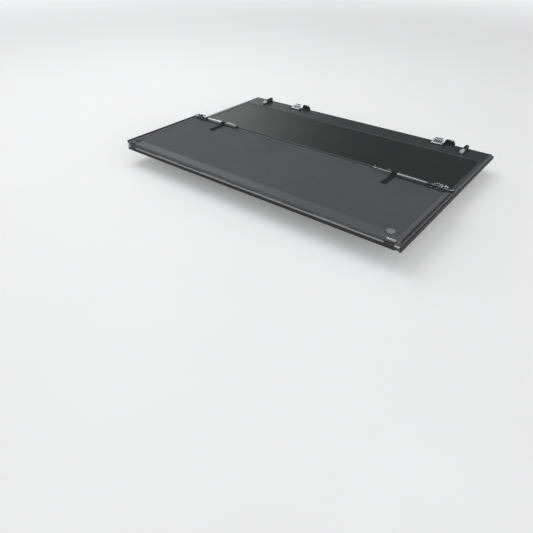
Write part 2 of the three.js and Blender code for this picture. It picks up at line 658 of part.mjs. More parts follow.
// Guide: a foot with an upright fence on its cab side, and a tube that holds
// the rod and its return spring.
function latchGuide(side, [start, end]) {
  const fence = [ // x, z
    [start, MOUNT_Z + 1], [start, MOUNT_Z + 15.5], [start + 6, MOUNT_Z + 16.5],
    [end - 8, MOUNT_Z + 9], [end, MOUNT_Z + 8], [end, MOUNT_Z + 1],
  ];
  return cut(
    join(
      sideBox(side, start, end, LATCH_Y - 11, LATCH_Y + 14, MOUNT_Z, MOUNT_Z + 1.8),
      alongY(mirrorX(fence, side), LATCH_Y + 11.8, LATCH_Y + 13.8),
      sideBox(side, start, end, LATCH_Y - 3, LATCH_Y + 3, MOUNT_Z + 1, LATCH_Z - 5),
      latchTube(side, 5.8, start, end, 18),
    ),
    latchTube(side, 5, start + 4, end - 4, 16),
    latchTube(side, ROD_HOLE_RADIUS, start - 10, end + 10, 16),
  );
}

// Rod: slides in the guide; its collar bears on the return spring. The right
// one ends in a bent leg, the left one in a capped sleeve.
function latchRod(side, { inner, guide }) {
  const radius = 3;
  const handle =
    side > 0
      ? [rodY(radius, LATCH_Y - 3, LATCH_Y + 24, side * (inner + 3), LATCH_Z, 14)]
      : [latchTube(side, 6.6, 477, 557, 16), latchTube(side, 7, inner, 477.5, 16)];
  const collar = guide[0] + COLLAR_START;
  return join(
    ...handle,
    latchTube(side, radius, inner, 743, 14),
    latchTube(side, 4.5, collar, collar + 4, 14),
    sideBox(side, 736, 749.5, LATCH_Y - 3.6, LATCH_Y + 3.6, LATCH_Z + 2, LATCH_Z + 4.2),
    sideBox(side, 736, 743, LATCH_Y - 2.4, LATCH_Y + 2.4, LATCH_Z, LATCH_Z + 4.2),
  );
}

// Return spring, from inside the guide's end to the rod's collar.
function latchSpring(side, guideStart) {
  const turns = 9;
  const steps = turns * 9;
  const start = guideStart + 5;
  const end = guideStart + COLLAR_START - 0.8;
  const coilRadius = 3.95;
  const wireRadius = 0.5;
  const path = [];
  for (let i = 0; i <= steps; i++) {
    const part = i / steps;
    const angle = Math.PI * 2 * turns * part;
    path.push(
      new THREE.Vector3(
        side * (start + (end - start) * part),
        LATCH_Y + coilRadius * Math.cos(angle),
        LATCH_Z + coilRadius * Math.sin(angle),
      ),
    );
  }
  const wire = [];
  for (let i = 0; i < 6; i++) {
    const angle = (i * Math.PI) / 3;
    wire.push(new THREE.Vector2(wireRadius * Math.cos(angle), wireRadius * Math.sin(angle)));
  }
  return new THREE.ExtrudeGeometry(new THREE.Shape(wire), {
    steps,
    bevelEnabled: false,
    extrudePath: new THREE.CatmullRomCurve3(path),
  });
}

// Pull strap: webbing looped round the rod, its tail lying on the panel. y, z
const STRAP_TAIL = [
  [-616, 47.6], [-717, 47.6], [-717, 49.6], [-630, 49.8], [-614, 55], [-610, 52], [-616, 49],
];
const pullStrap = (side, [start, end]) =>
  cut(
    join(
      latchTube(side, 8.2, start, end, 16),
      alongX(STRAP_TAIL, side * start, side * end),
    ),
    latchTube(side, ROD_HOLE_RADIUS, start - 6, end + 6, 16),
  );

// Head: casting at the panel's side edge, with the rod's outer bushing. x, y
const HEAD_OUTLINE = [
  [701, -596], [722, -595.5], [735, -594.4], [768, -594.4], [788, -595], [803, -601],
  [807, -611], [797, -620], [770, -624], [735, -624], [722, -622], [701, -622],
];
const latchHead = (side) =>
  cut(
    join(
      alongZ(mirrorX(HEAD_OUTLINE, side), MOUNT_Z, UNDERSIDE + 4.5),
      sideBox(side, 701, 711, LATCH_Y - 10, LATCH_Y + 10, UNDERSIDE + 1, LATCH_Z + 7),
      pinRod(side, 9.5, 2, 7.6, 20),
      sideBox(side, 726, 729, LATCH_Y - 13, LATCH_Y - 5, UNDERSIDE + 1, UNDERSIDE + 14),
    ),
    latchTube(side, ROD_HOLE_RADIUS, 690, 731, 16),
    latchTube(side, 4.2, 729, 752, 16),
    pinRod(side, PIN_HOLE_RADIUS, -5, 20, 14),
  );

const latchPin = (side) =>
  join(pinRod(side, 3.4, 0.6, 21.2, 14), pinRod(side, 5.6, 21, 23.2, 12));

// Hook plate: slides with the rod, guided by the pin in its slot, and hooks
// under the bed rail when the panel is closed. x, y
const HOOK_OUTLINE = [
  [743.6, -601], [752, -597], [784, -597], [795, -601], [801, -600], [804.5, -593],
  [810, -590], [815.5, -592.5], [817.5, -601], [812, -612], [800, -618], [780, -616.5],
  [760, -615], [743.6, -615],
];
function latchHook(side) {
  const slotRadius = 3.9;
  const slot = [];
  for (const [x, firstAngle] of [[PIN.x + 14, -90], [PIN.x, 90]])
    for (let i = 0; i <= 6; i++) {
      const angle = THREE.MathUtils.degToRad(firstAngle + 30 * i);
      slot.push([x + slotRadius * Math.cos(angle), PIN.y + slotRadius * Math.sin(angle)]);
    }
  return cut(
    alongZ(mirrorX(HOOK_OUTLINE, side), UNDERSIDE + 8.2, UNDERSIDE + 12.3),
    alongZ(mirrorX(slot, side), UNDERSIDE, UNDERSIDE + 20),
  );
}

// Crank: S-shaped lever above the hook plate, with a slanting thumb tab.
const CRANK_LINE = [ // x, y
  [730, -606], [735, -599], [743, -595.5], [752, -599],
  [760, -605], [769, -609], [778, -606], [783, -600],
];
const THUMB_TAB = [ // x, height above the underside
  [791, 15.5], [794, 16], [783, 23.6], [777, 23.6], [776, 20], [780, 18],
];
function latchCrank(side) {
  const lever = mirrorX(ribbon(CRANK_LINE, 7.5, 20), side);
  const tab = THUMB_TAB.map(([x, height]) => [side * x, UNDERSIDE + height]);
  return cut(
    join(
      alongZ(lever, UNDERSIDE + 17.4, UNDERSIDE + 20.4),
      pinRod(side, 8.4, 12.8, 20.4, 18),
      alongY(tab, -607, -598),
    ),
    pinRod(side, PIN_HOLE_RADIUS, 0, 30, 14),
  );
}

function addLatch(name, side) {
  const group = addGroup();
  const latch = LATCHES[name];
  add(group, "latch_guide_" + name, latchGuide(side, latch.guide), MATERIALS.steel);
  add(group, "latch_rod_" + name, latchRod(side, latch), MATERIALS.zinc);
  add(group, "latch_spring_" + name, latchSpring(side, latch.guide[0]), MATERIALS.zinc);
  add(group, "pull_strap_" + name, pullStrap(side, latch.strap), MATERIALS.webbing);
  add(group, "latch_head_" + name, latchHead(side), MATERIALS.cast);
  add(group, "latch_pin_" + name, latchPin(side), MATERIALS.steel);
  add(group, "latch_hook_" + name, latchHook(side), MATERIALS.steel);
  add(group, "latch_crank_" + name, latchCrank(side), MATERIALS.chrome);
}

// ------------------------------------------------------------------ assembly
addFrontPanel();
addSpacer();
addMiddlePanel();
addRearPanel();
add(root, "corner_knob_right", cornerKnob(), MATERIALS.steel);
for (const [name, side] of SIDES) addLatch(name, side);

export default root;
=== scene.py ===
import bpy
import bmesh
import json
import math
from mathutils import Matrix, Vector


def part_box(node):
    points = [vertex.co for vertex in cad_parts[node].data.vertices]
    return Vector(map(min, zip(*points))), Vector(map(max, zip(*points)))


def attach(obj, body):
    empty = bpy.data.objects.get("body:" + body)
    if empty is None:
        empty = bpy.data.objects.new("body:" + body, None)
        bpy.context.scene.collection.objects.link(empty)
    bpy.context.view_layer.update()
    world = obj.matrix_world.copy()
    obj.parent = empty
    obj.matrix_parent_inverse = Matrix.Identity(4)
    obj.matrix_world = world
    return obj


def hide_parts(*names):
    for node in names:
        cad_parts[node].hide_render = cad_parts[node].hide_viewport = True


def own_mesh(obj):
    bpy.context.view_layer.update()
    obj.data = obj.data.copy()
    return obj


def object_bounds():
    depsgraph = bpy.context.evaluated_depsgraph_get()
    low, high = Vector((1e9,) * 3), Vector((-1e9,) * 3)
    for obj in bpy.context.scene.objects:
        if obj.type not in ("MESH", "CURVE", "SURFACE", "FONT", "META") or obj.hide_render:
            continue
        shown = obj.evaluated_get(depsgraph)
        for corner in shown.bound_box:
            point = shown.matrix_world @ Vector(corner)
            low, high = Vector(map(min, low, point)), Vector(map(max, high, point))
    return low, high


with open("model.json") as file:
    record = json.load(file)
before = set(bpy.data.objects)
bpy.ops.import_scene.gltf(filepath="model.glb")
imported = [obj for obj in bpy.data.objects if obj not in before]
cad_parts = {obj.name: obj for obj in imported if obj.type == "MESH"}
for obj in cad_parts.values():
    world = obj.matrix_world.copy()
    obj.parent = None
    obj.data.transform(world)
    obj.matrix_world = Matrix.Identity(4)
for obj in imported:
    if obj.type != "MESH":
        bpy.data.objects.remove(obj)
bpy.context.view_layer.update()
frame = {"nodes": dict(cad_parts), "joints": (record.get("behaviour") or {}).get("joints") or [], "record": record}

MM = 0.001
RECORD = frame["record"]
JOINTS = {entry["name"]: entry for entry in RECORD.get("joints", ())} if False else {
    entry["name"]: entry for entry in frame["joints"]}
SLOT_OF = {part["node"]: part["material_slot"] for part in RECORD["subparts"]}
SIDES = (("left", -1), ("right", 1))


# ------------------------------------------------------------------ node helpers
def rgba(value):
    """A colour with its alpha; sockets and single numbers pass through."""
    return (*value, 1) if isinstance(value, tuple) else value


def shade(color, gain, lift=0.0):
    return tuple(channel * gain + lift for channel in color)


class Graph:
    """Short calls that add nodes to a node tree."""

    def __init__(self, tree):
        self.tree = tree

    def put(self, socket, value):
        """Link a socket, or set a plain value."""
        if hasattr(value, "is_output"):
            self.tree.links.new(value, socket)
        else:
            socket.default_value = value

    def new(self, kind, **settings):
        """Add a node; settings are inputs where it has them, else properties."""
        node = self.tree.nodes.new(kind)
        for name, value in settings.items():
            if name in node.inputs:
                self.put(node.inputs[name], value)
            else:
                setattr(node, name, value)
        return node

    def math(self, operation, first, second=0.0, clamp=False):
        node = self.new("ShaderNodeMath", operation=operation)
        node.use_clamp = clamp
        self.put(node.inputs[0], first)
        if second is not None:
            self.put(node.inputs[1], second)
        return node.outputs[0]

    def dot(self, first, second):
        node = self.new("ShaderNodeVectorMath", operation="DOT_PRODUCT")
        self.put(node.inputs[0], first)
        self.put(node.inputs[1], second)
        return node.outputs["Value"]

    def split(self, vector):
        node = self.new("ShaderNodeSeparateXYZ")
        self.put(node.inputs[0], vector)
        return node.outputs

    def map_range(self, value, start, end, low=0.0, high=1.0, kind="SMOOTHSTEP"):
        node = self.new("ShaderNodeMapRange", interpolation_type=kind)
        self.put(node.inputs["Value"], value)
        for name, number in (("From Min", start), ("From Max", end),
                             ("To Min", low), ("To Max", high)):
            node.inputs[name].default_value = number
        return node.outputs[0]

    def mix(self, factor, first, second):
        """Blend two colours."""
        node = self.new("ShaderNodeMix", data_type="RGBA")
        self.put(node.inputs[0], factor)
        self.put(node.inputs[6], rgba(first))
        self.put(node.inputs[7], rgba(second))
        return node.outputs[2]

    def mix_value(self, factor, first, second):
        node = self.new("ShaderNodeMix", data_type="FLOAT")
        self.put(node.inputs[0], factor)
        self.put(node.inputs[2], first)
        self.put(node.inputs[3], second)
        return node.outputs[0]


class Material(Graph):
    """A node material whose textures follow object coordinates."""

    def __init__(self, name):
        self.material = bpy.data.materials.new(name)
        self.material.use_nodes = True
        super().__init__(self.material.node_tree)
        self.shader = self.tree.nodes["Principled BSDF"]
        self.coords = self.new("ShaderNodeTexCoord").outputs["Object"]

    def stretched(self, x, y, z):
        """Coordinates scaled per axis; a high scale packs the pattern tightly."""
        node = self.new("ShaderNodeMapping")
        self.put(node.inputs["Vector"], self.coords)
        node.inputs["Scale"].default_value = (x, y, z)
        return node.outputs[0]

    def noise(self, scale, detail=2.0, rough=0.5, vector=None, distortion=0.0):
        node = self.new("ShaderNodeTexNoise", Scale=scale, Detail=detail, Roughness=rough,
                        Distortion=distortion)
        self.put(node.inputs["Vector"], vector or self.coords)
        return node.outputs["Fac"]

    def cells(self, scale):
        node = self.new("ShaderNodeTexVoronoi", Scale=scale)
        self.put(node.inputs["Vector"], self.coords)
        return node.outputs["Distance"]

    def ramp(self, factor, start, end, first=0.0, last=1.0):
        """Grey level first up to start, running to last at end."""
        node = self.new("ShaderNodeValToRGB")
        self.put(node.inputs["Fac"], factor)
        stops = zip(node.color_ramp.elements, (start, end), (first, last))
        for stop, position, grey in stops:
            stop.position = position
            stop.color = (grey, grey, grey, 1)
        return node.outputs["Color"]

    def bump(self, height, strength, distance, below=None):
        node = self.new("ShaderNodeBump", Strength=strength, Distance=distance)
        self.put(node.inputs["Height"], height)
        if below is not None:
            self.put(node.inputs["Normal"], below)
        return node.outputs[0]

    def rubbed_highlit_edges(self, radius, gain, patches):
        """Up to 1 on edges, from a rounded normal, broken up by patches; it marks rubbed edges and a painted edge
        highlight.
        """
        bevel = self.new("ShaderNodeBevel", samples=6, Radius=radius)
        geometry = self.new("ShaderNodeNewGeometry")
        facing = self.dot(bevel.outputs[0], geometry.outputs["Normal"])
        edge = self.math("MULTIPLY", self.math("SUBTRACT", 1.0, facing), gain, clamp=True)
        return self.math("MULTIPLY", edge, patches, clamp=True)

    def out(self, **inputs):
        """Feed the shader's inputs, with underscores for spaces."""
        for name, value in inputs.items():
            self.put(self.shader.inputs[name.replace("_", " ")], rgba(value))
        return self.material


# ------------------------------------------------------------------ materials
def powder_nodes(name, color, rough, grain=1100.0, peel=0.14, wear=0.45, cloud=0.10, spec=0.32):
    """Powder coat: orange peel, speckle, faint clouds, thin edges painted lighter, partly rubbed and partly a
    painted highlight.
    """
    mat = Material(name)
    specks = mat.noise(scale=grain * 2.3, detail=2.0, rough=0.6)
    clouds = mat.noise(scale=3.1, detail=3.0, rough=0.55, distortion=0.4)
    mottle = mat.noise(scale=210.0, detail=3.0, rough=0.6)
    smears = mat.noise(scale=1.0, detail=4.0, rough=0.6, vector=mat.stretched(9.0, 26.0, 9.0))
    base = mat.mix(mat.ramp(clouds, 0.3, 0.7), shade(color, 1 - cloud), shade(color, 1 + cloud))
    # Pattern, ramp start and end, grey levels there, colour gain and lift.
    for pattern, start, end, first, last, gain, lift in (
            (mottle, 0.36, 0.52, 0.55, 0.0, 0.80, 0.0),
            (mottle, 0.52, 0.68, 0.0, 0.5, 1.22, 0.001),
            (specks, 0.56, 0.72, 0.0, 0.42, 2.1, 0.012),
            (specks, 0.28, 0.42, 0.35, 0.0, 0.55, 0.0)):
        base = mat.mix(mat.ramp(pattern, start, end, first, last), base, shade(color, gain, lift))
    patches = mat.ramp(mat.noise(scale=160.0, detail=4.0, rough=0.65), 0.42, 0.62)
    # Edge mask for rubbing and a painted highlight; the edges are painted lighter and glossier below.
    rubbed_highlit = mat.math("MULTIPLY", mat.rubbed_highlit_edges(radius=0.0011, gain=5.0, patches=patches), wear)
    base = mat.mix(rubbed_highlit, base, shade(color, gain=3.2, lift=0.05))
    gloss = mat.mix_value(mat.ramp(smears, 0.35, 0.7), rough - 0.012, rough + 0.02)
    gloss = mat.mix_value(rubbed_highlit, gloss, rough * 0.75)
    waves = mat.bump(mat.noise(scale=1.9), strength=0.025, distance=0.006)
    orange_peel = mat.noise(scale=grain, detail=3.0, rough=0.55)
    normal = mat.bump(orange_peel, strength=peel, distance=0.00025, below=waves)
    mat.out(Base_Color=base, Roughness=gloss, Normal=normal, Specular_IOR_Level=spec)
    return mat


def powder(name, **look):
    return powder_nodes(name, **look).material


def powder_highlit_barrels(name, color, rough, axis_y, axis_z, reach, barrel_highlight):
    """The frame's powder coat, painted lighter within reach of the hinge axis: a painted highlight on the hinge
    barrels.
    """
    mat = powder_nodes(name, color, rough)
    position = mat.split(mat.new("ShaderNodeTexCoord").outputs["Object"])
    near = []
    for axis, centre in (("Y", axis_y), ("Z", axis_z)):
        offset = mat.math("SUBTRACT", position[axis], centre)
        distance = mat.math("ABSOLUTE", offset, None)
        near.append(mat.math("LESS_THAN", distance, reach))
    coated = mat.shader.inputs["Base Color"].links[0].from_socket
    return mat.out(Base_Color=mat.mix(mat.math("MULTIPLY", *near), coated, barrel_highlight))


def rubber(name, color, rough, along=None):
    """Rubber with patchy dust; along sets the scale of its extrusion lines."""
    mat = Material(name)
    dust = mat.noise(scale=55.0, detail=5.0, rough=0.65)
    dusty = shade(color, gain=2.4, lift=0.006)
    base = mat.mix(mat.ramp(dust, 0.4, 0.75, last=0.55), color, dusty)
    normal = mat.bump(mat.noise(scale=1500.0), strength=0.25, distance=0.00015)
    if along is not None:
        lines = mat.noise(scale=1.0, detail=1.0, vector=mat.stretched(*along))
        normal = mat.bump(lines, strength=0.35, distance=0.0002, below=normal)
    gloss = mat.mix_value(mat.ramp(dust, 0.35, 0.7), rough, rough + 0.15)
    return mat.out(Base_Color=base, Roughness=gloss, Normal=normal, Specular_IOR_Level=0.4)


def edge_seal(name, color, across, limit_y, limit_x):
    """Rubber whose run across the panel is painted grey as painted light, with patchy dust."""
    mat = Material(name)
    position = mat.split(mat.coords)
    far = mat.math("GREATER_THAN", position["Y"], limit_y)
    inside = mat.math("LESS_THAN", mat.math("ABSOLUTE", position["X"]), limit_x)
    # Painted light: the run across the panel is grey.
    base = mat.mix(mat.math("MULTIPLY", far, inside), color, across)
    dust = mat.noise(scale=55.0, detail=5.0, rough=0.65)
    dusty = shade(color, gain=1.8, lift=0.004)
    base = mat.mix(mat.ramp(dust, 0.4, 0.75, last=0.35), base, dusty)
    normal = mat.bump(mat.noise(scale=1500.0), strength=0.25, distance=0.00015)
    gloss = mat.mix_value(dust, 0.42, 0.6)
    return mat.out(Base_Color=base, Roughness=gloss, Normal=normal, Specular_IOR_Level=0.45)


def metal(name, color, rough, lines, scratches=0.3, tarnish=0.25):
    """Plated metal: drawn lines, scattered scratches and slight tarnish."""
    mat = Material(name)
    drawn = mat.noise(scale=1.0, detail=3.0, rough=0.6, vector=mat.stretched(*lines))
    spots = mat.ramp(mat.noise(scale=120.0, detail=5.0, rough=0.7), 0.45, 0.72)
    base = mat.mix(mat.math("MULTIPLY", spots, tarnish), color, shade(color, 0.5))
    base = mat.mix(mat.math("MULTIPLY", drawn, 0.35), base, shade(color, 0.72))
    marks = mat.noise(scale=1.0, rough=0.8, vector=mat.stretched(2600.0, 240.0, 900.0),
                      distortion=1.2)
    gloss = mat.mix_value(drawn, rough * 0.7, rough * 1.35)
    gloss = mat.mix_value(spots, gloss, rough * 1.6 + 0.05)
    normal = mat.bump(drawn, strength=0.12, distance=0.0001)
    normal = mat.bump(mat.ramp(marks, 0.62, 0.68), strength=scratches * 0.3, distance=0.00006,
                      below=normal)
    return mat.out(Base_Color=base, Roughness=gloss, Metallic=1.0, Normal=normal)


def cast(name, color, rough):
    """Sand-textured coated casting, rubbed to metal on its edges, which are also painted lighter as a painted
    highlight.
    """
    mat = Material(name)
    grit = mat.noise(scale=620.0, detail=4.0, rough=0.7)
    patches = mat.ramp(mat.noise(scale=210.0, detail=4.0, rough=0.6), 0.4, 0.6)
    # Edge mask for rubbing to metal, also a painted highlight on the edges.
    rubbed_highlit = mat.rubbed_highlit_edges(radius=0.0009, gain=6.0, patches=patches)
    gritty = shade(color, gain=1.9, lift=0.01)
    base = mat.mix(mat.ramp(grit, 0.4, 0.7, last=0.5), color, gritty)
    base = mat.mix(mat.math("MULTIPLY", rubbed_highlit, 0.7), base, (0.32, 0.33, 0.34))
    normal = mat.bump(grit, strength=0.35, distance=0.0003)
    normal = mat.bump(mat.cells(scale=520.0), strength=0.12, distance=0.0002, below=normal)
    return mat.out(Base_Color=base, Roughness=mat.mix_value(rubbed_highlit, rough, 0.32),
                   Metallic=mat.mix_value(rubbed_highlit, 0.0, 0.8), Normal=normal)


def webbing(name, color, pitch_x=0.0022, pitch_y=0.0026):
    """Woven narrow webbing: chevron ribs along its length."""
    mat = Material(name)
    position = mat.split(mat.coords)
    x = mat.math("MULTIPLY", position["X"], 2 * math.pi / pitch_x)
    y = mat.math("MULTIPLY", position["Y"], 2 * math.pi / pitch_y)
    zigzag = mat.math("ABSOLUTE", mat.math("SINE", mat.math("MULTIPLY", x, 0.5)))
    rib = mat.math("SINE", mat.math("ADD", y, mat.math("MULTIPLY", zigzag, 2.6)))
    cross = mat.math("MULTIPLY", mat.math("SINE", x), 0.35)
    weave = mat.math("ADD", mat.math("MULTIPLY", rib, 0.5), cross)
    weave = mat.math("ADD", mat.math("MULTIPLY", weave, 0.5), 0.5, clamp=True)
    fuzz = mat.noise(scale=2400.0, rough=0.6)
    base = mat.mix(weave, shade(color, gain=0.5), shade(color, gain=2.0, lift=0.004))
    base = mat.mix(mat.ramp(fuzz, 0.55, 0.8, last=0.3), base, (0.05, 0.05, 0.053))
    normal = mat.bump(weave, strength=0.8, distance=0.0006)
    normal = mat.bump(fuzz, strength=0.3, distance=0.0002, below=normal)
    return mat.out(Base_Color=base, Roughness=0.9, Normal=normal, Specular_IOR_Level=0.2)


def foam(name, color):
    mat = Material(name)
    cells = mat.cells(scale=420.0)
    return mat.out(Base_Color=mat.mix(cells, color, shade(color, 0.8)), Roughness=0.9,
                   Normal=mat.bump(cells, strength=0.6, distance=0.001))


def plastic(name, color, rough):
    """Grained moulding with slight colour variation."""
    mat = Material(name)
    variation = mat.ramp(mat.noise(scale=40.0, detail=4.0, rough=0.6), 0.4, 0.7, last=0.5)
    base = mat.mix(variation, color, shade(color, gain=1.35, lift=0.004))
    normal = mat.bump(mat.cells(scale=900.0), strength=0.2, distance=0.0002)
    return mat.out(Base_Color=base, Roughness=rough, Normal=normal)


FRAME_GREY = (0.100, 0.108, 0.113)
SEAL_BLACK = (0.020, 0.018, 0.017)
MAT = {
    "panel_skin": powder("powder_coat_under", color=(0.084, 0.091, 0.095), rough=0.62,
                         grain=820.0, peel=0.28, wear=0.3, cloud=0.09, spec=0.18),
    # Top skins: the underside's coat painted darker and glossier, painted shade from dark surroundings reflected
    # in the top faces.
    "painted_shade_skin": powder("powder_coat_painted_shade_top", color=(0.0285, 0.0297, 0.0302), rough=0.32,
                       grain=820.0, wear=0.3, spec=0.5),
    "frame": powder("powder_coat_frame", color=FRAME_GREY, rough=0.50),
    # Top frame parts: the frame's coat painted darker, painted shade from dark surroundings reflected in them.
    "painted_shade_frame": powder("powder_coat_painted_shade_frame", color=(0.052, 0.054, 0.055), rough=0.28,
                        peel=0.12, spec=0.55),
    # Hinge rails: the frame's coat painted lighter on the barrels, a painted highlight.
    "frame_painted_highlight_barrels": powder_highlit_barrels("powder_coat_highlit_barrels", color=FRAME_GREY, rough=0.46,
                                    axis_y=-1.137, axis_z=0.0255, reach=0.0045,
                                    barrel_highlight=(0.24, 0.25, 0.255)),
    # Front panel's left rail: the frame's coat painted lighter and glossier, a painted sheen.
    "frame_painted_sheen_left": powder("powder_coat_painted_sheen_left_rail", color=(0.115, 0.121, 0.125), rough=0.36,
                         cloud=0.12, spec=0.5),
    # Rear panel's left rail: the frame's coat painted darker, painted shade on that side.
    "frame_painted_shade_left": powder("powder_coat_painted_shade_left_rail", color=(0.086, 0.093, 0.097), rough=0.56,
                         wear=0.35, cloud=0.09, spec=0.22),
    "bracket": powder("powder_coat_bracket", color=(0.025, 0.0265, 0.0275), rough=0.42,
                      grain=900.0, peel=0.25, wear=0.6, cloud=0.12, spec=0.4),
    # A dark sheet under the buckle, painted shade.
    "shade_sheet": rubber("rubber_painted_shade_sheet", color=(0.010, 0.010, 0.010), rough=0.7),
    "foam": foam("foam_core", color=(0.62, 0.58, 0.48)),
    "seal": rubber("extruded_rubber", color=SEAL_BLACK, rough=0.5, along=(900.0, 2.0, 900.0)),
    "seal_across": rubber("extruded_rubber_across", color=SEAL_BLACK, rough=0.5,
                          along=(2.0, 900.0, 900.0)),
    # Tail seal: its run across the panel painted grey, painted light.
    "tail_seal_painted_light": edge_seal("rubber_tail_seal_painted_light", color=SEAL_BLACK, across=(0.062, 0.067, 0.071),
                           limit_y=-0.5945, limit_x=0.8115),
    "bumper_rubber": rubber("moulded_rubber", color=(0.017, 0.017, 0.017), rough=0.42),
    "cast": cast("coated_casting", color=(0.030, 0.031, 0.033), rough=0.42),
    "zinc": metal("zinc_plate", color=(0.40, 0.405, 0.415), rough=0.32,
                  lines=(6.0, 1400.0, 1400.0), tarnish=0.35),
    "steel": metal("bright_steel", color=(0.52, 0.53, 0.54), rough=0.20,
                   lines=(5.0, 1500.0, 1500.0), scratches=0.35, tarnish=0.2),
    "chrome": metal("polished_chrome", color=(0.70, 0.71, 0.73), rough=0.10,
                    lines=(300.0, 300.0, 300.0), scratches=0.25, tarnish=0.12),
    "webbing": webbing("black_webbing", color=(0.014, 0.014, 0.015)),
    "cap": plastic("black_plastic", color=(0.016, 0.016, 0.017), rough=0.38),
    "plug": plastic("light_plug", color=(0.40, 0.41, 0.42), rough=0.45),
    "tube": metal("drawn_tube", color=(0.44, 0.445, 0.45), rough=0.25,
                  lines=(3.0, 240.0, 240.0), scratches=0.2, tarnish=0.22),
    # Left guide tube: the drawn tube painted near white, a painted reflection.
    "tube_painted_reflection": metal("drawn_tube_painted_reflection", color=(0.86, 0.865, 0.87), rough=0.36,
                       lines=(3.0, 240.0, 240.0), scratches=0.2, tarnish=0.12),
    # Rear panel's right rail: the frame's coat painted lighter, painted light on that side.
    "frame_painted_light_right": powder("powder_coat_painted_light_right_rail", color=(0.118, 0.127, 0.133), rough=0.50,
                          wear=0.35, cloud=0.09, spec=0.3),
    # Front panel's right rail: the dark top coat painted lighter, a painted highlight on its rounded outer edge.
    "frame_painted_highlight_edge": powder("powder_coat_painted_highlight_edge", color=(0.074, 0.077, 0.079), rough=0.30,
                         peel=0.12, spec=0.55),
    "sleeve": metal("zinc_sleeve", color=(0.46, 0.465, 0.475), rough=0.36,
                    lines=(6.0, 1200.0, 1200.0), tarnish=0.3),
    "clip": metal("clip_plate", color=(0.55, 0.555, 0.56), rough=0.45,
                  lines=(6.0, 900.0, 900.0), tarnish=0.2),
    "knob": plastic("grey_moulding", color=(0.21, 0.22, 0.225), rough=0.5),
    "thread": plastic("stitch_thread", color=(0.05, 0.05, 0.052), rough=0.7),
}


# ------------------------------------------------------------------ outlines, in mm
def arc(x, y, radius, start, turn, steps):
    """Points on an arc; start and turn are in degrees."""
    angles = [math.radians(start + turn * i / steps) for i in range(steps + 1)]
    return [(x + radius * math.cos(angle), y + radius * math.sin(angle)) for angle in angles]


def circle(x, y, radius, count=32, start=0):
    return arc(x, y, radius, start, 360, count)[:-1]


def round_rect(x0, x1, y0, y1, radius, steps=6):
    corners = ((x1 - radius, y1 - radius, 0), (x0 + radius, y1 - radius, 90),
               (x0 + radius, y0 + radius, 180), (x1 - radius, y0 + radius, 270))
    return [point for x, y, start in corners for point in arc(x, y, radius, start, 90, steps)]


def rounded(start, end, radius, corner):
    """Lathe profile of a rod with rounded ends."""
    return [(start, 0), *arc(start + corner, radius - corner, corner, 180, -90, 4),
            *arc(end - corner, radius - corner, corner, 90, -90, 4), (end, 0)]


def smooth_line(points, steps, closed=False):
    """Catmull-Rom curve through the points."""
    count = len(points)
    line = []
    for i in range(count if closed else count - 1):
        if closed:
            near = [points[(i + k - 1) % count] for k in range(4)]
        else:
            near = [points[max(0, min(count - 1, i + k - 1))] for k in range(4)]
        for k in range(steps):
            t = k / steps
            line.append(tuple(
                0.5 * (2 * p1 + (p2 - p0) * t + (2 * p0 - 5 * p1 + 4 * p2 - p3) * t * t
                       + (3 * p1 - p0 - 3 * p2 + p3) * t ** 3)
                for p0, p1, p2, p3 in zip(*near)))
    if not closed:
        line.append(tuple(points[-1]))
    return line


def normals(line):
    """Unit normals, to the left of travel, of a 2D line."""
    result = []
    for i in range(len(line)):
        (x0, y0), (x1, y1) = line[max(0, i - 1)], line[min(len(line) - 1, i + 1)]
        length = math.hypot(x1 - x0, y1 - y0) or 1
        result.append((-(y1 - y0) / length, (x1 - x0) / length))
    return result


def ribbon(points, width, steps):
    """Outline of a strip of even width with round ends."""
    line = smooth_line(points, steps)
    half = width / 2
    pairs = list(zip(line, normals(line)))
    left = [(x + nx * half, y + ny * half) for (x, y), (nx, ny) in pairs]
    right = [(x - nx * half, y - ny * half) for (x, y), (nx, ny) in pairs]

    def cap(centre, start):
        angle = math.atan2(start[1] - centre[1], start[0] - centre[0])
        return arc(*centre, half, math.degrees(angle), -180, 8)[1:-1]
    return left + cap(line[-1], left[-1]) + right[::-1] + cap(line[0], right[0])


def mirrored(points, sign):
    """Points for the side, kept in the same turning order."""
    return points if sign > 0 else [(-x, y) for x, y in points][::-1]


# ------------------------------------------------------------------ solids, in mm
AXES = {
    "X": Matrix(((0, 0, 1), (1, 0, 0), (0, 1, 0))).to_4x4(),
    "Y": Matrix(((0, 1, 0), (0, 0, 1), (1, 0, 0))).to_4x4(),
    "Z": Matrix.Identity(4),
}
UPRIGHT_Y = Matrix(((1, 0, 0, 0), (0, 0, -1, 0), (0, 1, 0, 0), (0, 0, 0, 1)))


def moved(bm, matrix):
    bmesh.ops.transform(bm, matrix=matrix, verts=bm.verts[:])
    return bm


def join(bm, *others):
    for other in others:
        mesh = bpy.data.meshes.new("part")
        other.to_mesh(mesh)
        other.free()
        bm.from_mesh(mesh)
        bpy.data.meshes.remove(mesh)
    return bm


def loft(bm, rows):
    """Skin rows of vertices into a closed body with flat ends."""
    for row, after in zip(rows, rows[1:]):
        for i in range(len(row)):
            j = (i + 1) % len(row)
            bm.faces.new((row[i], row[j], after[j], after[i]))
    bm.faces.new(rows[0][::-1])
    bm.faces.new(rows[-1])
    return bm


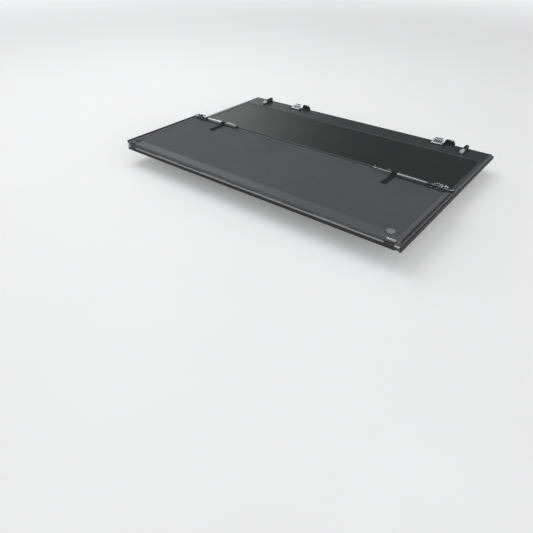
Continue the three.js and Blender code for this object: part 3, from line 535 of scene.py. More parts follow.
def lathe(profile, axis, centre, seg, ring=False):
    """Turn (along, radius) pairs about an axis; a ring's profile closes on itself."""
    bm = bmesh.new()
    place = Matrix.Translation(Vector(centre) * MM) @ AXES[axis]
    rows = []
    for along, radius in profile:
        if radius <= 1e-9:
            rows.append([bm.verts.new(place @ Vector((0, 0, along * MM)))])
            continue
        turns = [2 * math.pi * i / seg for i in range(seg)]
        rows.append([
            bm.verts.new(place @ Vector((radius * MM * math.cos(turn),
                                         radius * MM * math.sin(turn), along * MM)))
            for turn in turns])
    pairs = list(zip(rows, rows[1:]))
    if ring:
        pairs.append((rows[-1], rows[0]))
    for row, after in pairs:
        for i in range(seg):
            j = (i + 1) % seg
            if len(row) == 1 and len(after) == 1:
                continue
            if len(row) == 1:
                bm.faces.new((row[0], after[j], after[i]))
            elif len(after) == 1:
                bm.faces.new((row[i], row[j], after[0]))
            else:
                bm.faces.new((row[i], row[j], after[j], after[i]))
    return bm


def lathe_x(profile, sign, y, z, seg, ring=False):
    """Turn about a line along X; the profile is measured outward on one side."""
    return lathe([(sign * x, radius) for x, radius in profile], "X", (0, y, z), seg, ring)


def block(x0, x1, y0, y1, z0, z1, edge, seg=2):
    """A box with rounded edges; each pair may come in either order."""
    bm = bmesh.new()
    bmesh.ops.create_cube(bm, size=1.0)
    for vert in bm.verts:
        vert.co = Vector((
            (x0 + x1) / 2 + vert.co.x * abs(x1 - x0),
            (y0 + y1) / 2 + vert.co.y * abs(y1 - y0),
            (z0 + z1) / 2 + vert.co.z * abs(z1 - z0),
        )) * MM
    bmesh.ops.bevel(bm, geom=bm.edges[:], offset=edge * MM, segments=seg, affect="EDGES",
                    profile=0.5)
    return bm


def plate(outline, z0, z1, edge, holes=(), matrix=None):
    """A flat plate with holes and rounded edges, from an outline in (x, y)."""
    curve = bpy.data.curves.new("plate", "CURVE")
    curve.dimensions = "2D"
    curve.fill_mode = "BOTH"
    curve.extrude = ((z1 - z0) / 2 - edge) * MM
    curve.bevel_depth = edge * MM
    curve.bevel_resolution = 2
    curve.offset = -edge * MM
    for points in (outline, *holes):
        spline = curve.splines.new("POLY")
        spline.points.add(len(points) - 1)
        for i, (x, y) in enumerate(points):
            spline.points[i].co = (x * MM, y * MM, 0, 1)
        spline.use_cyclic_u = True
    holder = bpy.data.objects.new("plate", curve)
    bpy.context.scene.collection.objects.link(holder)
    depsgraph = bpy.context.evaluated_depsgraph_get()
    mesh = bpy.data.meshes.new_from_object(holder.evaluated_get(depsgraph))
    bpy.data.objects.remove(holder)
    bpy.data.curves.remove(curve)
    bm = bmesh.new()
    bm.from_mesh(mesh)
    bpy.data.meshes.remove(mesh)
    bmesh.ops.remove_doubles(bm, verts=bm.verts[:], dist=2e-6)
    bmesh.ops.dissolve_degenerate(bm, dist=1e-7, edges=bm.edges[:])
    for vert in bm.verts:
        vert.co.z += (z0 + z1) / 2 * MM
    return bm if matrix is None else moved(bm, matrix)


def wall_x(outline, x0, x1, edge, holes=(), sign=1):
    """An upright plate across X, from an outline in (y, z)."""
    across = Matrix(((0, 0, sign, 0), (1, 0, 0, 0), (0, 1, 0, 0), (0, 0, 0, 1)))
    return plate(outline, x0, x1, edge, holes, across)


def wall_y(outline, y0, y1, edge, holes=()):
    """An upright plate across Y, from an outline in (x, z)."""
    return plate(outline, -y1, -y0, edge, holes, UPRIGHT_Y)


def sweep(points, radius, seg, edge=0.0):
    """A round wire along the points; edge rounds its ends."""
    bm = bmesh.new()
    points = [Vector(point) for point in points]
    last = len(points) - 1
    up = None
    rows = []
    for i, point in enumerate(points):
        along = (points[min(last, i + 1)] - points[max(0, i - 1)]).normalized()
        up = along.orthogonal() if up is None else up - along * up.dot(along)
        up = up.normalized()
        side = along.cross(up)
        # Distance along and loss of radius for each ring at this point.
        rings = [(0, 0)]
        if edge and i == 0:
            rings = [(0, edge), (edge * 0.3, edge * 0.3), (edge, 0)]
        elif edge and i == last:
            rings = [(-edge, 0), (-edge * 0.3, edge * 0.3), (0, edge)]
        for shift, loss in rings:
            centre = point + along * shift
            row = []
            for k in range(seg):
                turn = 2 * math.pi * k / seg
                spoke = up * math.cos(turn) + side * math.sin(turn)
                row.append(bm.verts.new((centre + spoke * (radius - loss)) * MM))
            rows.append(row)
    return loft(bm, rows)


def add(name, bm, material, body, stands_for=None, sharp=35.0):
    """Make an object that moves with a body and may stand for a CAD node."""
    bmesh.ops.recalc_face_normals(bm, faces=bm.faces[:])
    mesh = bpy.data.meshes.new(name)
    bm.to_mesh(mesh)
    bm.free()
    mesh.polygons.foreach_set("use_smooth", [True] * len(mesh.polygons))
    mesh.set_sharp_from_angle(angle=math.radians(sharp))
    mesh.name = name
    item = bpy.data.objects.new(name, mesh)
    bpy.context.scene.collection.objects.link(item)
    mesh.materials.append(MAT[material])
    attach(item, body)
    if stands_for:
        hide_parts(stands_for)
    return item


def screw(name, x, y, z, radius, body, up=(0, 0, 1), material="zinc"):
    """A domed, recessed screw head standing on the point and facing up."""
    height = radius * 0.62
    profile = [(0, 0), (0, radius)]
    for k in range(1, 7):
        angle = math.pi / 2 * k / 6
        profile.append((height * math.sin(angle), radius * (0.35 + 0.65 * math.cos(angle))))
    profile += [(height, radius * 0.30), (height * 0.55, radius * 0.20), (height * 0.5, 0)]
    turn = Vector((0, 0, 1)).rotation_difference(Vector(up)).to_matrix().to_4x4()
    place = Matrix.Translation(Vector((x, y, z)) * MM) @ turn
    add(name, moved(lathe(profile, "Z", (0, 0, 0), 28), place), material, body)


# ------------------------------------------------------------ CAD nodes' finish
# Material and edge rounding (mm) of single nodes.
NODE_FINISH = {
    # Painted light on the tail seal's run across the panel.
    "rear_seal": ("tail_seal_painted_light", 0.5),
    "hinge_wiper_seal": ("seal_across", 0.5),
    # Painted sheen on the front panel's left rail.
    "front_side_rail_left": ("frame_painted_sheen_left", 0.35),
    # Painted shade on the rear panel's left rail.
    "rear_side_rail_left": ("frame_painted_shade_left", 0.35),
    # Painted light on the rear panel's right rail.
    "rear_side_rail_right": ("frame_painted_light_right", 0.35),
    # Painted highlight on the front panel's right rail.
    "front_side_rail_right": ("frame_painted_highlight_edge", 0.35),
    # Hinge rails take the copy with a painted highlight on their barrels.
    "rear_hinge_rail": ("frame_painted_highlight_barrels", 0.35),
    "middle_rear_hinge_rail": ("frame_painted_highlight_barrels", 0.35),
}


def finish_of(node):
    if node in NODE_FINISH:
        return NODE_FINISH[node]
    if node.startswith(("middle_seal", "front_seal")):
        return "seal", 0.5
    # Top skins take the darker copy, painted shade.
    if node.endswith("top_skin"):
        return "painted_shade_skin", 0.25
    slot = SLOT_OF[node]
    if node.endswith(("skin", "core")):
        return slot, 0.25
    # Header, front and middle frame parts take the darker copy, painted shade.
    if node.startswith(("header", "front_", "middle_", "hinge_spacer")) and slot == "frame":
        return "painted_shade_frame", 0.35
    return slot, 0.35


def dress(node):
    """Give a CAD node its material, smooth shading and rounded edges."""
    material, edge = finish_of(node)
    item = frame["nodes"][node]
    mesh = item.data
    mesh.materials.clear()
    mesh.materials.append(MAT[material])
    custom = mesh.attributes.get("custom_normal")
    if custom is not None:
        mesh.attributes.remove(custom)
    mesh.polygons.foreach_set("use_smooth", [True] * len(mesh.polygons))
    for mesh_edge in mesh.edges:
        mesh_edge.use_edge_sharp = False
    weld = item.modifiers.new("weld", "WELD")
    weld.merge_threshold = 2e-6
    bevel = item.modifiers.new("edges", "BEVEL")
    bevel.width = edge * MM
    bevel.segments = 2
    bevel.limit_method = "ANGLE"
    bevel.angle_limit = math.radians(32.0)
    bevel.harden_normals = True
    bevel.use_clamp_overlap = True
    bevel.miter_outer = "MITER_ARC"


for node_name in frame["nodes"]:
    dress(node_name)


# ------------------------------------------------------------------- places, in mm
def low(node):
    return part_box(node)[0] / MM


def high(node):
    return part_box(node)[1] / MM


def x_span(node):
    """A node's inner and outer distance from the centre line."""
    return sorted((abs(low(node).x), abs(high(node).x)))


def joint(name):
    return Vector(JOINTS[name]["pos_m"]) / MM


TOP = high("rear_tail_rail").z  # upturned underside of the rear panel's rails
SKIN = high("rear_panel_bottom_skin").z
BASE = TOP + 0.3  # underside of the latch parts
HEADER_TOP = high("header_rail").z
FOOT = HEADER_TOP + 0.3  # underside of the header's parts
HINGE = joint("rear_fold")

# ------------------------------------------------------------- latch hardware
# Tables give x outward from the centre line and y from the rod's axis.
HEAD_OUTLINE = [
    (701, 12), (722, 12.5), (735, 13.6), (768, 13.6), (788, 13), (803, 7),
    (807, -3), (797, -12), (770, -16), (735, -16), (722, -14), (701, -14)]
HEAD_SCREWS = ((720.5, 6.4), (719.5, -9.6), (792, -3.5), (746, -11.6))
HOOK_OUTLINE = [
    (743.6, 7), (752, 11), (784, 11), (795, 7.4), (801, 8.4), (804.8, 15), (810, 18),
    (815.6, 15.4), (817.4, 7), (812, -4), (800, -10), (780, -8.5), (760, -7), (743.6, -7)]
CRANK_LINE = [(730, 2), (735, 9), (743, 12.5), (752, 9), (760, 3), (769, -1), (778, 2), (783, 8)]
# Keeper wire over the right rod: x, y and z from the rod's axis.
KEEPER = [
    (492, -3.0, 1.0), (492, -0.6, 4.6), (493.4, 1.2, 9.4), (497.5, 1.6, 11.2),
    (503, 1.6, 10.9), (506.2, 1.2, 8.6), (506.0, 0.8, 4.8), (504, -3.0, 1.2)]
# Left rod's thick sleeve and thin outer length: x, radius.
SLEEVED_ROD = [
    (477.4, 0), (477.4, 6.2), (478, 6.6), (484, 6.6), (484.8, 6.1), (486.6, 6.1),
    (487.4, 6.6), (546, 6.6), (546.8, 6.1), (548.6, 6.1), (549.4, 6.6), (555.6, 6.6),
    (556.4, 6.2), (557, 5.4), (557, 3.0), (742.4, 3.0), (743, 2.4), (743, 0)]
# Left rod's end cap: distance from the rod's inner end, radius.
ROD_CAP = [
    (0, 0), (0, 4.6), (0.5, 5.8), (1.5, 6.6), (3, 7), (8, 7), (8.6, 6.5), (9.8, 6.5),
    (10.4, 7), (13.2, 7), (14, 6.5), (14.2, 5.0), (14.2, 0)]
# One end of the guide tube: distance from the end, radius.
TUBE_END = [(0, 3.4), (0, 4.6), (0.4, 5.3), (1.3, 5.8), (7, 5.8), (7.8, 5.2), (10, 5.2),
            (10.8, 5.8)]
# Strap section, as fractions of its half width and half thickness.
STRAP_SECTION = (
    (-1, 0), (-0.97, 0.7), (-0.9, 1), (-0.45, 1), (0, 1), (0.45, 1), (0.9, 1), (0.97, 0.7),
    (1, 0), (0.97, -0.7), (0.9, -1), (0.45, -1), (0, -1), (-0.45, -1), (-0.9, -1),
    (-0.97, -0.7))
STITCH = 1.25  # pitch of the strap's stitches


class Latch:
    """Where one side's latch lies; y and z are the rod's axis."""

    def __init__(self, side, sign):
        self.side = side
        self.sign = sign
        self.pin = joint("crank_turn_" + side)
        self.guide_in, self.guide_out = x_span("latch_guide_" + side)
        self.rod_in = x_span("latch_rod_" + side)[0]
        self.y = low("latch_guide_" + side).y + 11
        self.z = TOP + 10.5
        self.slide = "latch_rod_" + side

    def turned(self, profile, seg, ring=False):
        return lathe_x(profile, self.sign, self.y, self.z, seg, ring)

    def block(self, x0, x1, y0, y1, z0, z1, edge, seg=2):
        """A block with y measured from the rod's axis."""
        sign, y = self.sign, self.y
        return block(sign * x0, sign * x1, y + y0, y + y1, z0, z1, edge, seg)

    def outline(self, points):
        return mirrored([(x, self.y + y) for x, y in points], self.sign)

    def path(self, points):
        return [(self.sign * x, self.y + y, self.z + z) for x, y, z in points]


def add_guide(latch):
    """A drawn tube on a folded foot whose +Y side stands up as a fence."""
    side, sign, y = latch.side, latch.sign, latch.y
    x0, x1 = latch.guide_in, latch.guide_out
    foot = round_rect(*sorted((sign * x0, sign * x1)), y - 11, y + 11.4, 2.5)
    add("guide_foot_" + side, plate(foot, BASE, BASE + 1.8, 0.4), "cast", "rear",
        sharp=40)
    # Fence: x, height above the foot's underside.
    fence = [
        (x0, 0.8), (x0, 13.5), (x0 + 1.5, 15.6), (x0 + 4, 16.4), (x0 + 10, 16.2),
        (x0 + 14, 14.4), (x0 + 24, 13.6), (x1 - 40, 10.4), (x1 - 8, 9), (x1 - 1.5, 8.4),
        (x1, 7.2), (x1, 0.8)]
    fence = mirrored([(x, BASE + height) for x, height in fence], sign)
    tube = [(x0 + inset, radius) for inset, radius in TUBE_END]
    tube += [(x1 - inset, radius) for inset, radius in TUBE_END[::-1]]
    tube += [(x1 - 4, 3.4), (x1 - 4, 4.9), (x0 + 4, 4.9), (x0 + 4, 3.4)]
    bm = join(
        wall_y(fence, y + 11.8, y + 13.8, 0.5),
        latch.block(x0 + 3, x0 + 10, 5.5, 13, BASE + 13.6, BASE + 15.4, 0.6),
        latch.block(x0 + 2, x1 - 2, -2.8, 2.8, BASE + 1.2, latch.z - 4.8, 0.6),
        latch.turned(tube, 56, ring=True))
    # The left tube takes the copy with a painted reflection.
    add("guide_tube_" + side, bm, "tube" if side == "right" else "tube_painted_reflection", "rear",
        "latch_guide_" + side)
    for k in range(5):
        x = x0 + 12 + k * (x1 - x0 - 24) / 4
        screw(f"guide_rivet_{side}_{k}", sign * x, y - 9.0, base_rivet_z(), 1.5, "rear")


def base_rivet_z():
    """Height at which the guide's rivets stand, just inside the foot's top."""
    return BASE + 1.7


def bent_rod(latch):
    """The right rod, bent towards +Y at its inner end, with its keeper wire."""
    bend = latch.rod_in + 3
    line = [(bend + 0.6, 24, 0.6), (bend + 0.3, 20, 0.2), (bend, 14, 0)]
    line += [(x, y, 0) for x, y in arc(bend + 6, 6, 6, 180, 90, 6)]
    line += [(500, 0, 0), (600, 0, 0), (743, 0, 0)]
    return join(sweep(latch.path(line), 3.0, 20, 0.7),
                sweep(latch.path(smooth_line(KEEPER, 6)), 1.5, 12, 0.4))


def sleeved_rod(latch):
    """The left rod, sleeved at its inner end, with its cap and clip."""
    z = latch.z
    cap = latch.turned([(latch.rod_in + x, radius) for x, radius in ROD_CAP], 44)
    add("rod_end_cap_" + latch.side, cap, "cap", latch.slide)
    clip = join(latch.block(547, 487, -5.5, 8.5, z + 6.7, z + 9.3, 0.9, 3),
                latch.block(547, 487, 6.7, 8.6, z - 4, z + 8, 0.7))
    add("sleeve_clip_" + latch.side, clip, "clip", latch.slide, sharp=40)
    return latch.turned(SLEEVED_ROD, 48)


def add_rod(latch):
    right = latch.side == "right"
    collar, z = latch.guide_in + 88, latch.z
    bm = join(
        bent_rod(latch) if right else sleeved_rod(latch),
        latch.turned(rounded(collar, collar + 4, 4.5, 0.6), 40),
        latch.block(736, 749.5, -3.6, 3.6, z + 2.0, z + 4.2, 0.5),
        lathe(rounded(z + 2.2, z + 5.2, 2.0, 0.6), "Z", (latch.sign * 741, latch.y, 0), 24))
    add("rod_" + latch.side, bm, "zinc" if right else "sleeve", latch.slide,
        "latch_rod_" + latch.side)


def add_spring(latch):
    """A round-wire coil inside the guide."""
    radius, turns, steps = 3.95, 9, 22
    x0, x1 = x_span("latch_spring_" + latch.side)
    coil = []
    for i in range(turns * steps + 1):
        t = i / (turns * steps)
        angle = 2 * math.pi * turns * t
        coil.append((latch.sign * (x0 + 0.5 + (x1 - x0 - 1.0) * t),
                     latch.y + radius * math.cos(angle), latch.z + radius * math.sin(angle)))
    spring = add("return_spring_" + latch.side, sweep(coil, 0.5, 8), "zinc", "rear",
                 "latch_spring_" + latch.side)
    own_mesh(spring)


def strip(points, centre, width, thickness, drift=0.0, waist=0.0):
    """Webbing along (y, z) points; it drifts in X and narrows mid-length by waist."""
    bm = bmesh.new()
    rows = []
    for i, ((y, z), (ny, nz)) in enumerate(zip(points, normals(points))):
        t = i / (len(points) - 1)
        x = centre + drift * t ** 2
        half = width / 2 * (1 - waist * math.sin(math.pi * t) ** 2)
        rows.append([
            bm.verts.new(Vector((x + u * half, y + ny * v * thickness / 2,
                                 z + nz * v * thickness / 2)) * MM)
            for u, v in STRAP_SECTION])
    return loft(bm, rows)


def add_strap(latch):
    """A pull strap wrapped round the rod and laid back, with its stitches."""
    side, sign, y, z = latch.side, latch.sign, latch.y, latch.z
    end = low("pull_strap_" + side).y
    x0, x1 = x_span("pull_strap_" + side)
    centre, width = sign * (x0 + x1) / 2, x1 - x0
    wrap = arc(y, z, 6.3, -110, 300, 26)
    tail = smooth_line([
        wrap[-1], (y - 8.2, z - 3.6), (y - 13, TOP + 4.2), (y - 21, TOP + 1.9),
        (y - 34, TOP + 0.6), (y - 52, TOP + 1.1), (y - 72, TOP + 0.4), (y - 90, TOP + 0.9),
        (end + 5, TOP + 0.7), (end + 0.8, TOP + 1.3)], 8)
    hem = [(end + 22, TOP + 2.3), (end + 14, TOP + 2.5), (end + 6, TOP + 2.45),
           (end + 2.0, TOP + 2.9)]
    bm = join(
        strip(wrap + tail[1:], centre, width, 1.7, drift=-2.0, waist=0.04),
        strip(arc(y, z, 4.4, 205, -320, 30), centre, width - 0.8, 1.6),
        strip(hem, sign * (x0 + x1 - 4.0) / 2, width - 1.2, 1.5))
    add("strap_" + side, bm, "webbing", latch.slide, "pull_strap_" + side, sharp=60)
    # Stitch rows: y, half length, x shift, height above the rails.
    rows = ((y - 19.5, 10.0, -0.1, 3.7), (y - 23.5, 10.0, -0.1, 3.2),
            (end + 19.5, 9.4, -1.9, 3.3), (end + 4.6, 9.4, -1.9, 3.3))
    for k, (row_y, half, shift, height) in enumerate(rows):
        points = [
            (centre + shift - half + i * STITCH / 4, row_y,
             TOP + height + 0.28 * math.cos(2 * math.pi * i / 4))
            for i in range(int(half * 2 / STITCH) * 4 + 1)]
        add(f"stitch_{side}_{k}", sweep(points, 0.32, 6), "thread", latch.slide)


def add_head(latch):
    """A casting with two collars for the rod, a boss for the pin and a stop."""
    side, sign, y, z, pin = latch.side, latch.sign, latch.y, latch.z, latch.pin
    outline = [(px, min(py, 13.7)) for px, py in smooth_line(HEAD_OUTLINE, 5, True)]
    boss = [(2, 3.8), (2, 12), (4.6, 11.4), (5.6, 10.0), (7.2, 9.4), (7.6, 8.8), (7.6, 3.8)]
    bore = [circle(y, z, 3.4)]
    bm = join(
        plate(latch.outline(outline), BASE, TOP + 4.5, 0.9, [circle(pin.x, pin.y, 3.8, 24)]),
        latch.block(707, 779, -15.4, -3.4, SKIN + 0.4, TOP + 0.9, 0.5),
        wall_x(round_rect(y - 10.2, y + 10.2, TOP + 1.0, z + 7.2, 4.5), 701.2, 711.2, 0.9,
               bore, sign),
        wall_x(round_rect(y - 8.6, y + 8.6, TOP + 1.0, z + 5.4, 4.5), 711.4, 716, 0.7,
               bore, sign),
        lathe(boss, "Z", (pin.x, pin.y, TOP), 44, ring=True),
        latch.block(726, 729, -13, -5, TOP + 1, TOP + 14, 0.8),
        latch.block(716.5, 740, 9.2, 11.4, TOP + 3, TOP + 8, 0.9))
    add("head_" + side, bm, "cast", "rear", "latch_head_" + side, sharp=40)
    for k, (screw_x, screw_y) in enumerate(HEAD_SCREWS):
        screw(f"head_screw_{side}_{k}", sign * screw_x, y + screw_y, TOP + 4.4, 2.7, "rear")


def add_pin(latch):
    """The crank's pin, with a turned head."""
    profile = [(-0.4, 0), (-0.4, 3.0), (0, 3.4), (21, 3.4), (21, 5.2), (21.4, 5.8),
               (22.4, 5.8), (23.1, 5.0), (23.1, 2.4), (22.2, 2.0), (22.2, 0)]
    add("pin_" + latch.side, lathe(profile, "Z", (latch.pin.x, latch.pin.y, TOP), 40),
        "steel", "rear", "latch_pin_" + latch.side)


def add_hook(latch):
    """A hook plate, slotted round the pin."""
    slot = arc(774, latch.pin.y, 3.9, -90, 180, 8) + arc(760, latch.pin.y, 3.9, 90, 180, 8)
    bm = plate(latch.outline(smooth_line(HOOK_OUTLINE, 5)[2:-2]), TOP + 8.2, TOP + 12.3, 0.8,
               [mirrored(slot, latch.sign)])
    add("hook_" + latch.side, bm, "steel", latch.slide, "latch_hook_" + latch.side, sharp=40)


def add_crank(latch):
    """An S-shaped lever with a hub and a slanting thumb tab."""
    side, sign, pin = latch.side, latch.sign, latch.pin
    hub = [(12.8, 3.8), (12.8, 7.9), (13.3, 8.4), (19.8, 8.4), (20.5, 7.7), (20.5, 3.8)]
    tab_centre = Vector((sign * 784.6, latch.y + 5.4, TOP + 18.1)) * MM
    slant = Matrix.Rotation(sign * math.radians(33), 4, "Y")
    tab = block(-8, 8, -4.6, 4.6, -1.3, 1.3, 1.1, 3)
    bm = join(
        plate(latch.outline(ribbon(CRANK_LINE, 7.5, 6)), TOP + 17.4, TOP + 20.4, 1.0),
        lathe(hub, "Z", (pin.x, pin.y, TOP), 40, ring=True),
        moved(tab, Matrix.Translation(tab_centre) @ slant))
    add("crank_" + side, bm, "chrome" if side == "right" else "cap", "latch_crank_" + side,
        "latch_crank_" + side, sharp=40)


for side_name, side_sign in SIDES:
    side_latch = Latch(side_name, side_sign)
    for add_part in (add_guide, add_rod, add_spring, add_strap, add_head, add_pin, add_hook,
                     add_crank):
        add_part(side_latch)


# ------------------------------------------------------ rear panel's other parts
def add_lobed_knob(side, sign, x, y, material, stands_for=None):
    """A seven-lobed disc with a dished cap."""
    lobes = []
    for k in range(112):
        angle = 2 * math.pi * k / 112
        radius = 18.2 + 2.1 * math.cos(7 * angle)
        lobes.append((x + sign * radius * math.cos(angle), y + radius * math.sin(angle)))
    cap = [(4.2, 0), (4.2, 11.0), (4.9, 10.6), (5.7, 9.6), (6.0, 8.4), (6.0, 4.2), (5.4, 3.8),
           (5.4, 0)]
    bm = join(plate(lobes, BASE, TOP + 4.5, 1.1), lathe(cap, "Z", (x, y, TOP), 44))
    add("lobed_knob_" + side, bm, material, "rear", stands_for, sharp=40)


def add_stud_sleeve(side, sign):
    """A grooved sleeve on the stud in the rear hinge rail's notched end."""
    x0, x1 = 751.0, 791.0
    profile = [
        (x0, 4.15), (x0, 4.7), (x0 + 0.5, 5.2), (x0 + 9, 5.2), (x0 + 9.6, 4.7),
        (x0 + 11, 4.7), (x0 + 11.6, 5.2), (x1 - 0.5, 5.2), (x1, 4.7), (x1, 4.15)]
    bm = lathe_x(profile, sign, HINGE.y + 9.4, TOP - 5.4, 36, ring=True)
    add("stud_sleeve_" + side, bm, "steel" if side == "right" else "cap", "rear")


knob_low, knob_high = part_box("corner_knob_right")
knob = (knob_low + knob_high) / 2 / MM
# The left knob is the same part as the right, painted black: painted shade on the darker left side.
add_lobed_knob("left", -1, -778.0, knob.y - 5.0, "cap")
add_lobed_knob("right", 1, knob.x, knob.y, "knob", "corner_knob_right")
for side_name, side_sign in SIDES:
    add_stud_sleeve(side_name, side_sign)

# ------------------------------------------------------------------- header
# Bumper's nose: distance towards -Y, radius, height of its flattened top (1 is round).
NOSE = ((0.9, 9.4, 1.0), (1.2, 10.2, 1.0), (3, 10.6, 1.0), (8, 10.6, 0.92), (14, 10.4, 0.68),
        (20, 10.0, 0.36), (24.6, 9.4, 0.10), (26, 8.6, 0.0))
# Anchor's upright lug above its foot: x from the buckle's joint, z.
LUG = [
    (30, 30), (33.4, 40), (38, 46.0), (46, 48.3), (60, 48.5), (73, 48.3), (79.5, 46.6),
    (84.5, 42.5), (88, 36), (91, 29.5)]
# Bar ends, turned about X: x from the buckle's joint, radius.
BAR_KNOB = [
    (36.9, 3.0), (36.9, 5.2), (37.6, 6.4), (41, 6.8), (44.4, 6.2), (45.6, 4.6), (46, 3.0),
    (46, 0), (38.4, 0), (38.4, 3.0)]
BAR_COLLAR = [
    (-36.9, 2.9), (-36.9, 4.8), (-37.5, 5.2), (-39.4, 5.2), (-40, 4.6), (-40, 0),
    (-38.4, 0), (-38.4, 2.9)]
# Buckle plate, lying flat: x and y from its bar.
BUCKLE_OUTLINE = [
    (-29.6, 1.2), (-20, 0.8), (0, 0.8), (20, 0.8), (29.6, 1.2), (30.6, 3), (30.1, 16),
    (29.5, 30.5), (27.4, 34.8), (24, 36.6), (23, 44.8), (20.6, 48), (10, 48.3),
    (-10, 48.3), (-20.6, 48), (-23, 44.8), (-24, 36.6), (-27.4, 34.8), (-29.5, 30.5),
    (-30.1, 16), (-30.6, 3)]
BUCKLE_SLOT = [
    (0.2, 10), (3.0, 7.2), (6.2, 8.2), (8.0, 14.5), (9.8, 25.5), (8.6, 30.4), (5.2, 31.2),
    (2.8, 27.4), (1.2, 18.0)]


def add_bumper(side):
    """A ribbed rubber roll with a plug nose that tapers to a slanting face."""
    node = "rest_bumper_" + side
    start, end = low(node), high(node)
    radius = 12.0
    x, z = (start.x + end.x) / 2, end.z - radius
    joint_y = start.y + 27
    profile = [(joint_y - 0.5, 0), (joint_y - 0.5, 9.8), (joint_y, radius - 1.0),
               (joint_y + 1.2, radius)]
    for k in range(1, 6):
        y = joint_y + (end.y - joint_y) * k / 6
        profile += [(y - 1.0, radius), (y - 0.5, radius - 0.3), (y + 0.5, radius - 0.3),
                    (y + 1.0, radius)]
    profile.append((end.y - 4, radius))
    for angle in (0.4, 0.8, 1.2, 1.57):
        profile.append((end.y - 4 + 4 * math.sin(angle), radius - 4 + 4 * math.cos(angle)))
    profile.append((end.y, 0))
    bm = join(lathe(profile, "Y", (x, 0, z), 52),
              block(x - 9, x + 9, start.y + 6, end.y - 4, FOOT, z - 4, 1.2))
    add("bumper_" + side, bm, "bumper_rubber", "front", node, sharp=50)

    bm = bmesh.new()
    rows = []
    for back, nose_radius, top in NOSE:
        ceiling = nose_radius * top + (1 - top) * -2.0
        rows.append([
            bm.verts.new(Vector((x + across, joint_y - back, z + min(up, ceiling))) * MM)
            for across, up in circle(0, 0, nose_radius, 44)])
    loft(bm, rows)
    bmesh.ops.remove_doubles(bm, verts=bm.verts[:], dist=1e-7)
    add("bumper_nose_" + side, bm, "plug", "front", sharp=42)


def add_anchor(side, pivot):
    """A folded plate with an upright lug at the header's edge and two ears."""
    x, y, z = pivot
    front = high("strap_anchor_" + side).y
    foot = [(x - 37, y - 9), (x + 40, y - 9), (x + 40, -18), (x + 91, -18), (x + 91, front),
            (x + 29, front), (x + 29, y + 9), (x - 37, y + 9)]
    lug = [(29, FOOT + 1), *LUG, (91, FOOT + 1)]
    lug = smooth_line([(x + lug_x, lug_z) for lug_x, lug_z in lug], 5)
    lug = [(lug_x, max(lug_z, FOOT + 0.8)) for lug_x, lug_z in lug]
    ear = [(y - 6, FOOT + 1), (y + 6, FOOT + 1)] + arc(y, z, 5.2, 0, 180, 12)
    bm = join(
        plate(foot, FOOT, FOOT + 2, 0.4),
        wall_y(lug, front - 4, front, 0.8, [circle(x + 72, 42.5, 3, 20)]),
        *(wall_x(ear, ear_x, ear_x + 2.5, 0.4, [circle(y, z, 2.9, 24)])
          for ear_x in (x - 36.5, x + 34)))
    add("anchor_" + side, bm, "bracket", "front", "strap_anchor_" + side,
        sharp=40)
    screw("lug_screw_" + side, x + 72, front - 3.9, 42.5, 4.0, "front", (0, -1, 0), "chrome")
    screw("lug_rivet_" + side, x + 61, front - 3.9, 44.2, 2.2, "front", (0, -1, 0))
    for k, offset in enumerate((52, 80)):
        screw(f"anchor_screw_{side}_{k}", x + offset, -11, FOOT + 1.8, 3.4, "front",
              material="cast")
    # The bar's ends: a knob on the lug's side and a short collar on the other.
    for name, profile, seg in (("knob", BAR_KNOB, 36), ("collar", BAR_COLLAR, 32)):
        add(f"buckle_{name}_{side}", lathe(profile, "X", pivot, seg, ring=True), "cap",
            "front", sharp=40)


def add_buckle(side, pivot):
    """A rounded plate with slanted slots, tipped up about its bar, and a dark sheet of painted shade under it."""
    body = "buckle_" + side
    tipped = Matrix.Translation(pivot * MM) @ Matrix.Rotation(math.radians(23), 4, "X")
    outline = smooth_line(BUCKLE_OUTLINE, 4, True)
    slots = [smooth_line([(x - 20.7 + 11.2 * k, y) for x, y in BUCKLE_SLOT], 4, True)
             for k in range(4)]
    slots.append(round_rect(-18, 18, 37.2, 43.2, 2.6, 5))
    bm = join(
        plate(outline, -1.6, 1.6, 1.1, slots, tipped),
        moved(lathe(rounded(-38, 38, 2.5, 0.6), "X", (0, 0, 0), 28), tipped),
        moved(block(-21, 21, 45.4, 48.4, -2.2, 1.9, 1.0), tipped))
    add("chrome_buckle_" + side, bm, "chrome", body, body, sharp=40)
    # Dark sheet under the buckle, painted shade seen through its slots.
    inner = [(x * 0.93, 3.6 + (y - 3.6) * 0.955) for x, y in outline if y > 3.5]
    add("buckle_shade_sheet_" + side, plate(inner, -2.6, -1.75, 0.25, matrix=tipped), "shade_sheet", body,
        sharp=40)


for side_name, _ in SIDES:
    buckle_pivot = joint("buckle_tip_" + side_name)
    add_bumper(side_name)
    add_anchor(side_name, buckle_pivot)
    add_buckle(side_name, buckle_pivot)


# ------------------------------------------------------------------ hinge rods
def add_hinge_pin():
    """A thin pin with a stepped, thicker length at each end."""
    start, end = low("rear_hinge_rod").x, high("rear_hinge_rod").x
    # Distance inward from the pin's end, radius.
    tip = [(0, 0), (0, 2.6), (0.6, 3.4), (1.6, 4.0), (12, 4.0), (12.6, 3.4), (14.4, 3.4),
           (15, 4.0), (39.6, 4.0), (40.6, 3.2), (40.8, 2.1), (40.8, 0)]
    bm = lathe_x(rounded(start + 20, end - 20, 2.2, 0.4), 1, HINGE.y, HINGE.z, 32)
    for sign, reach in ((-1, -start), (1, end)):
        profile = [(reach - inset, radius) for inset, radius in tip]
        join(bm, lathe_x(profile, sign, HINGE.y, HINGE.z, 40))
    add("hinge_pin", bm, "cast", "middle", "rear_hinge_rod")


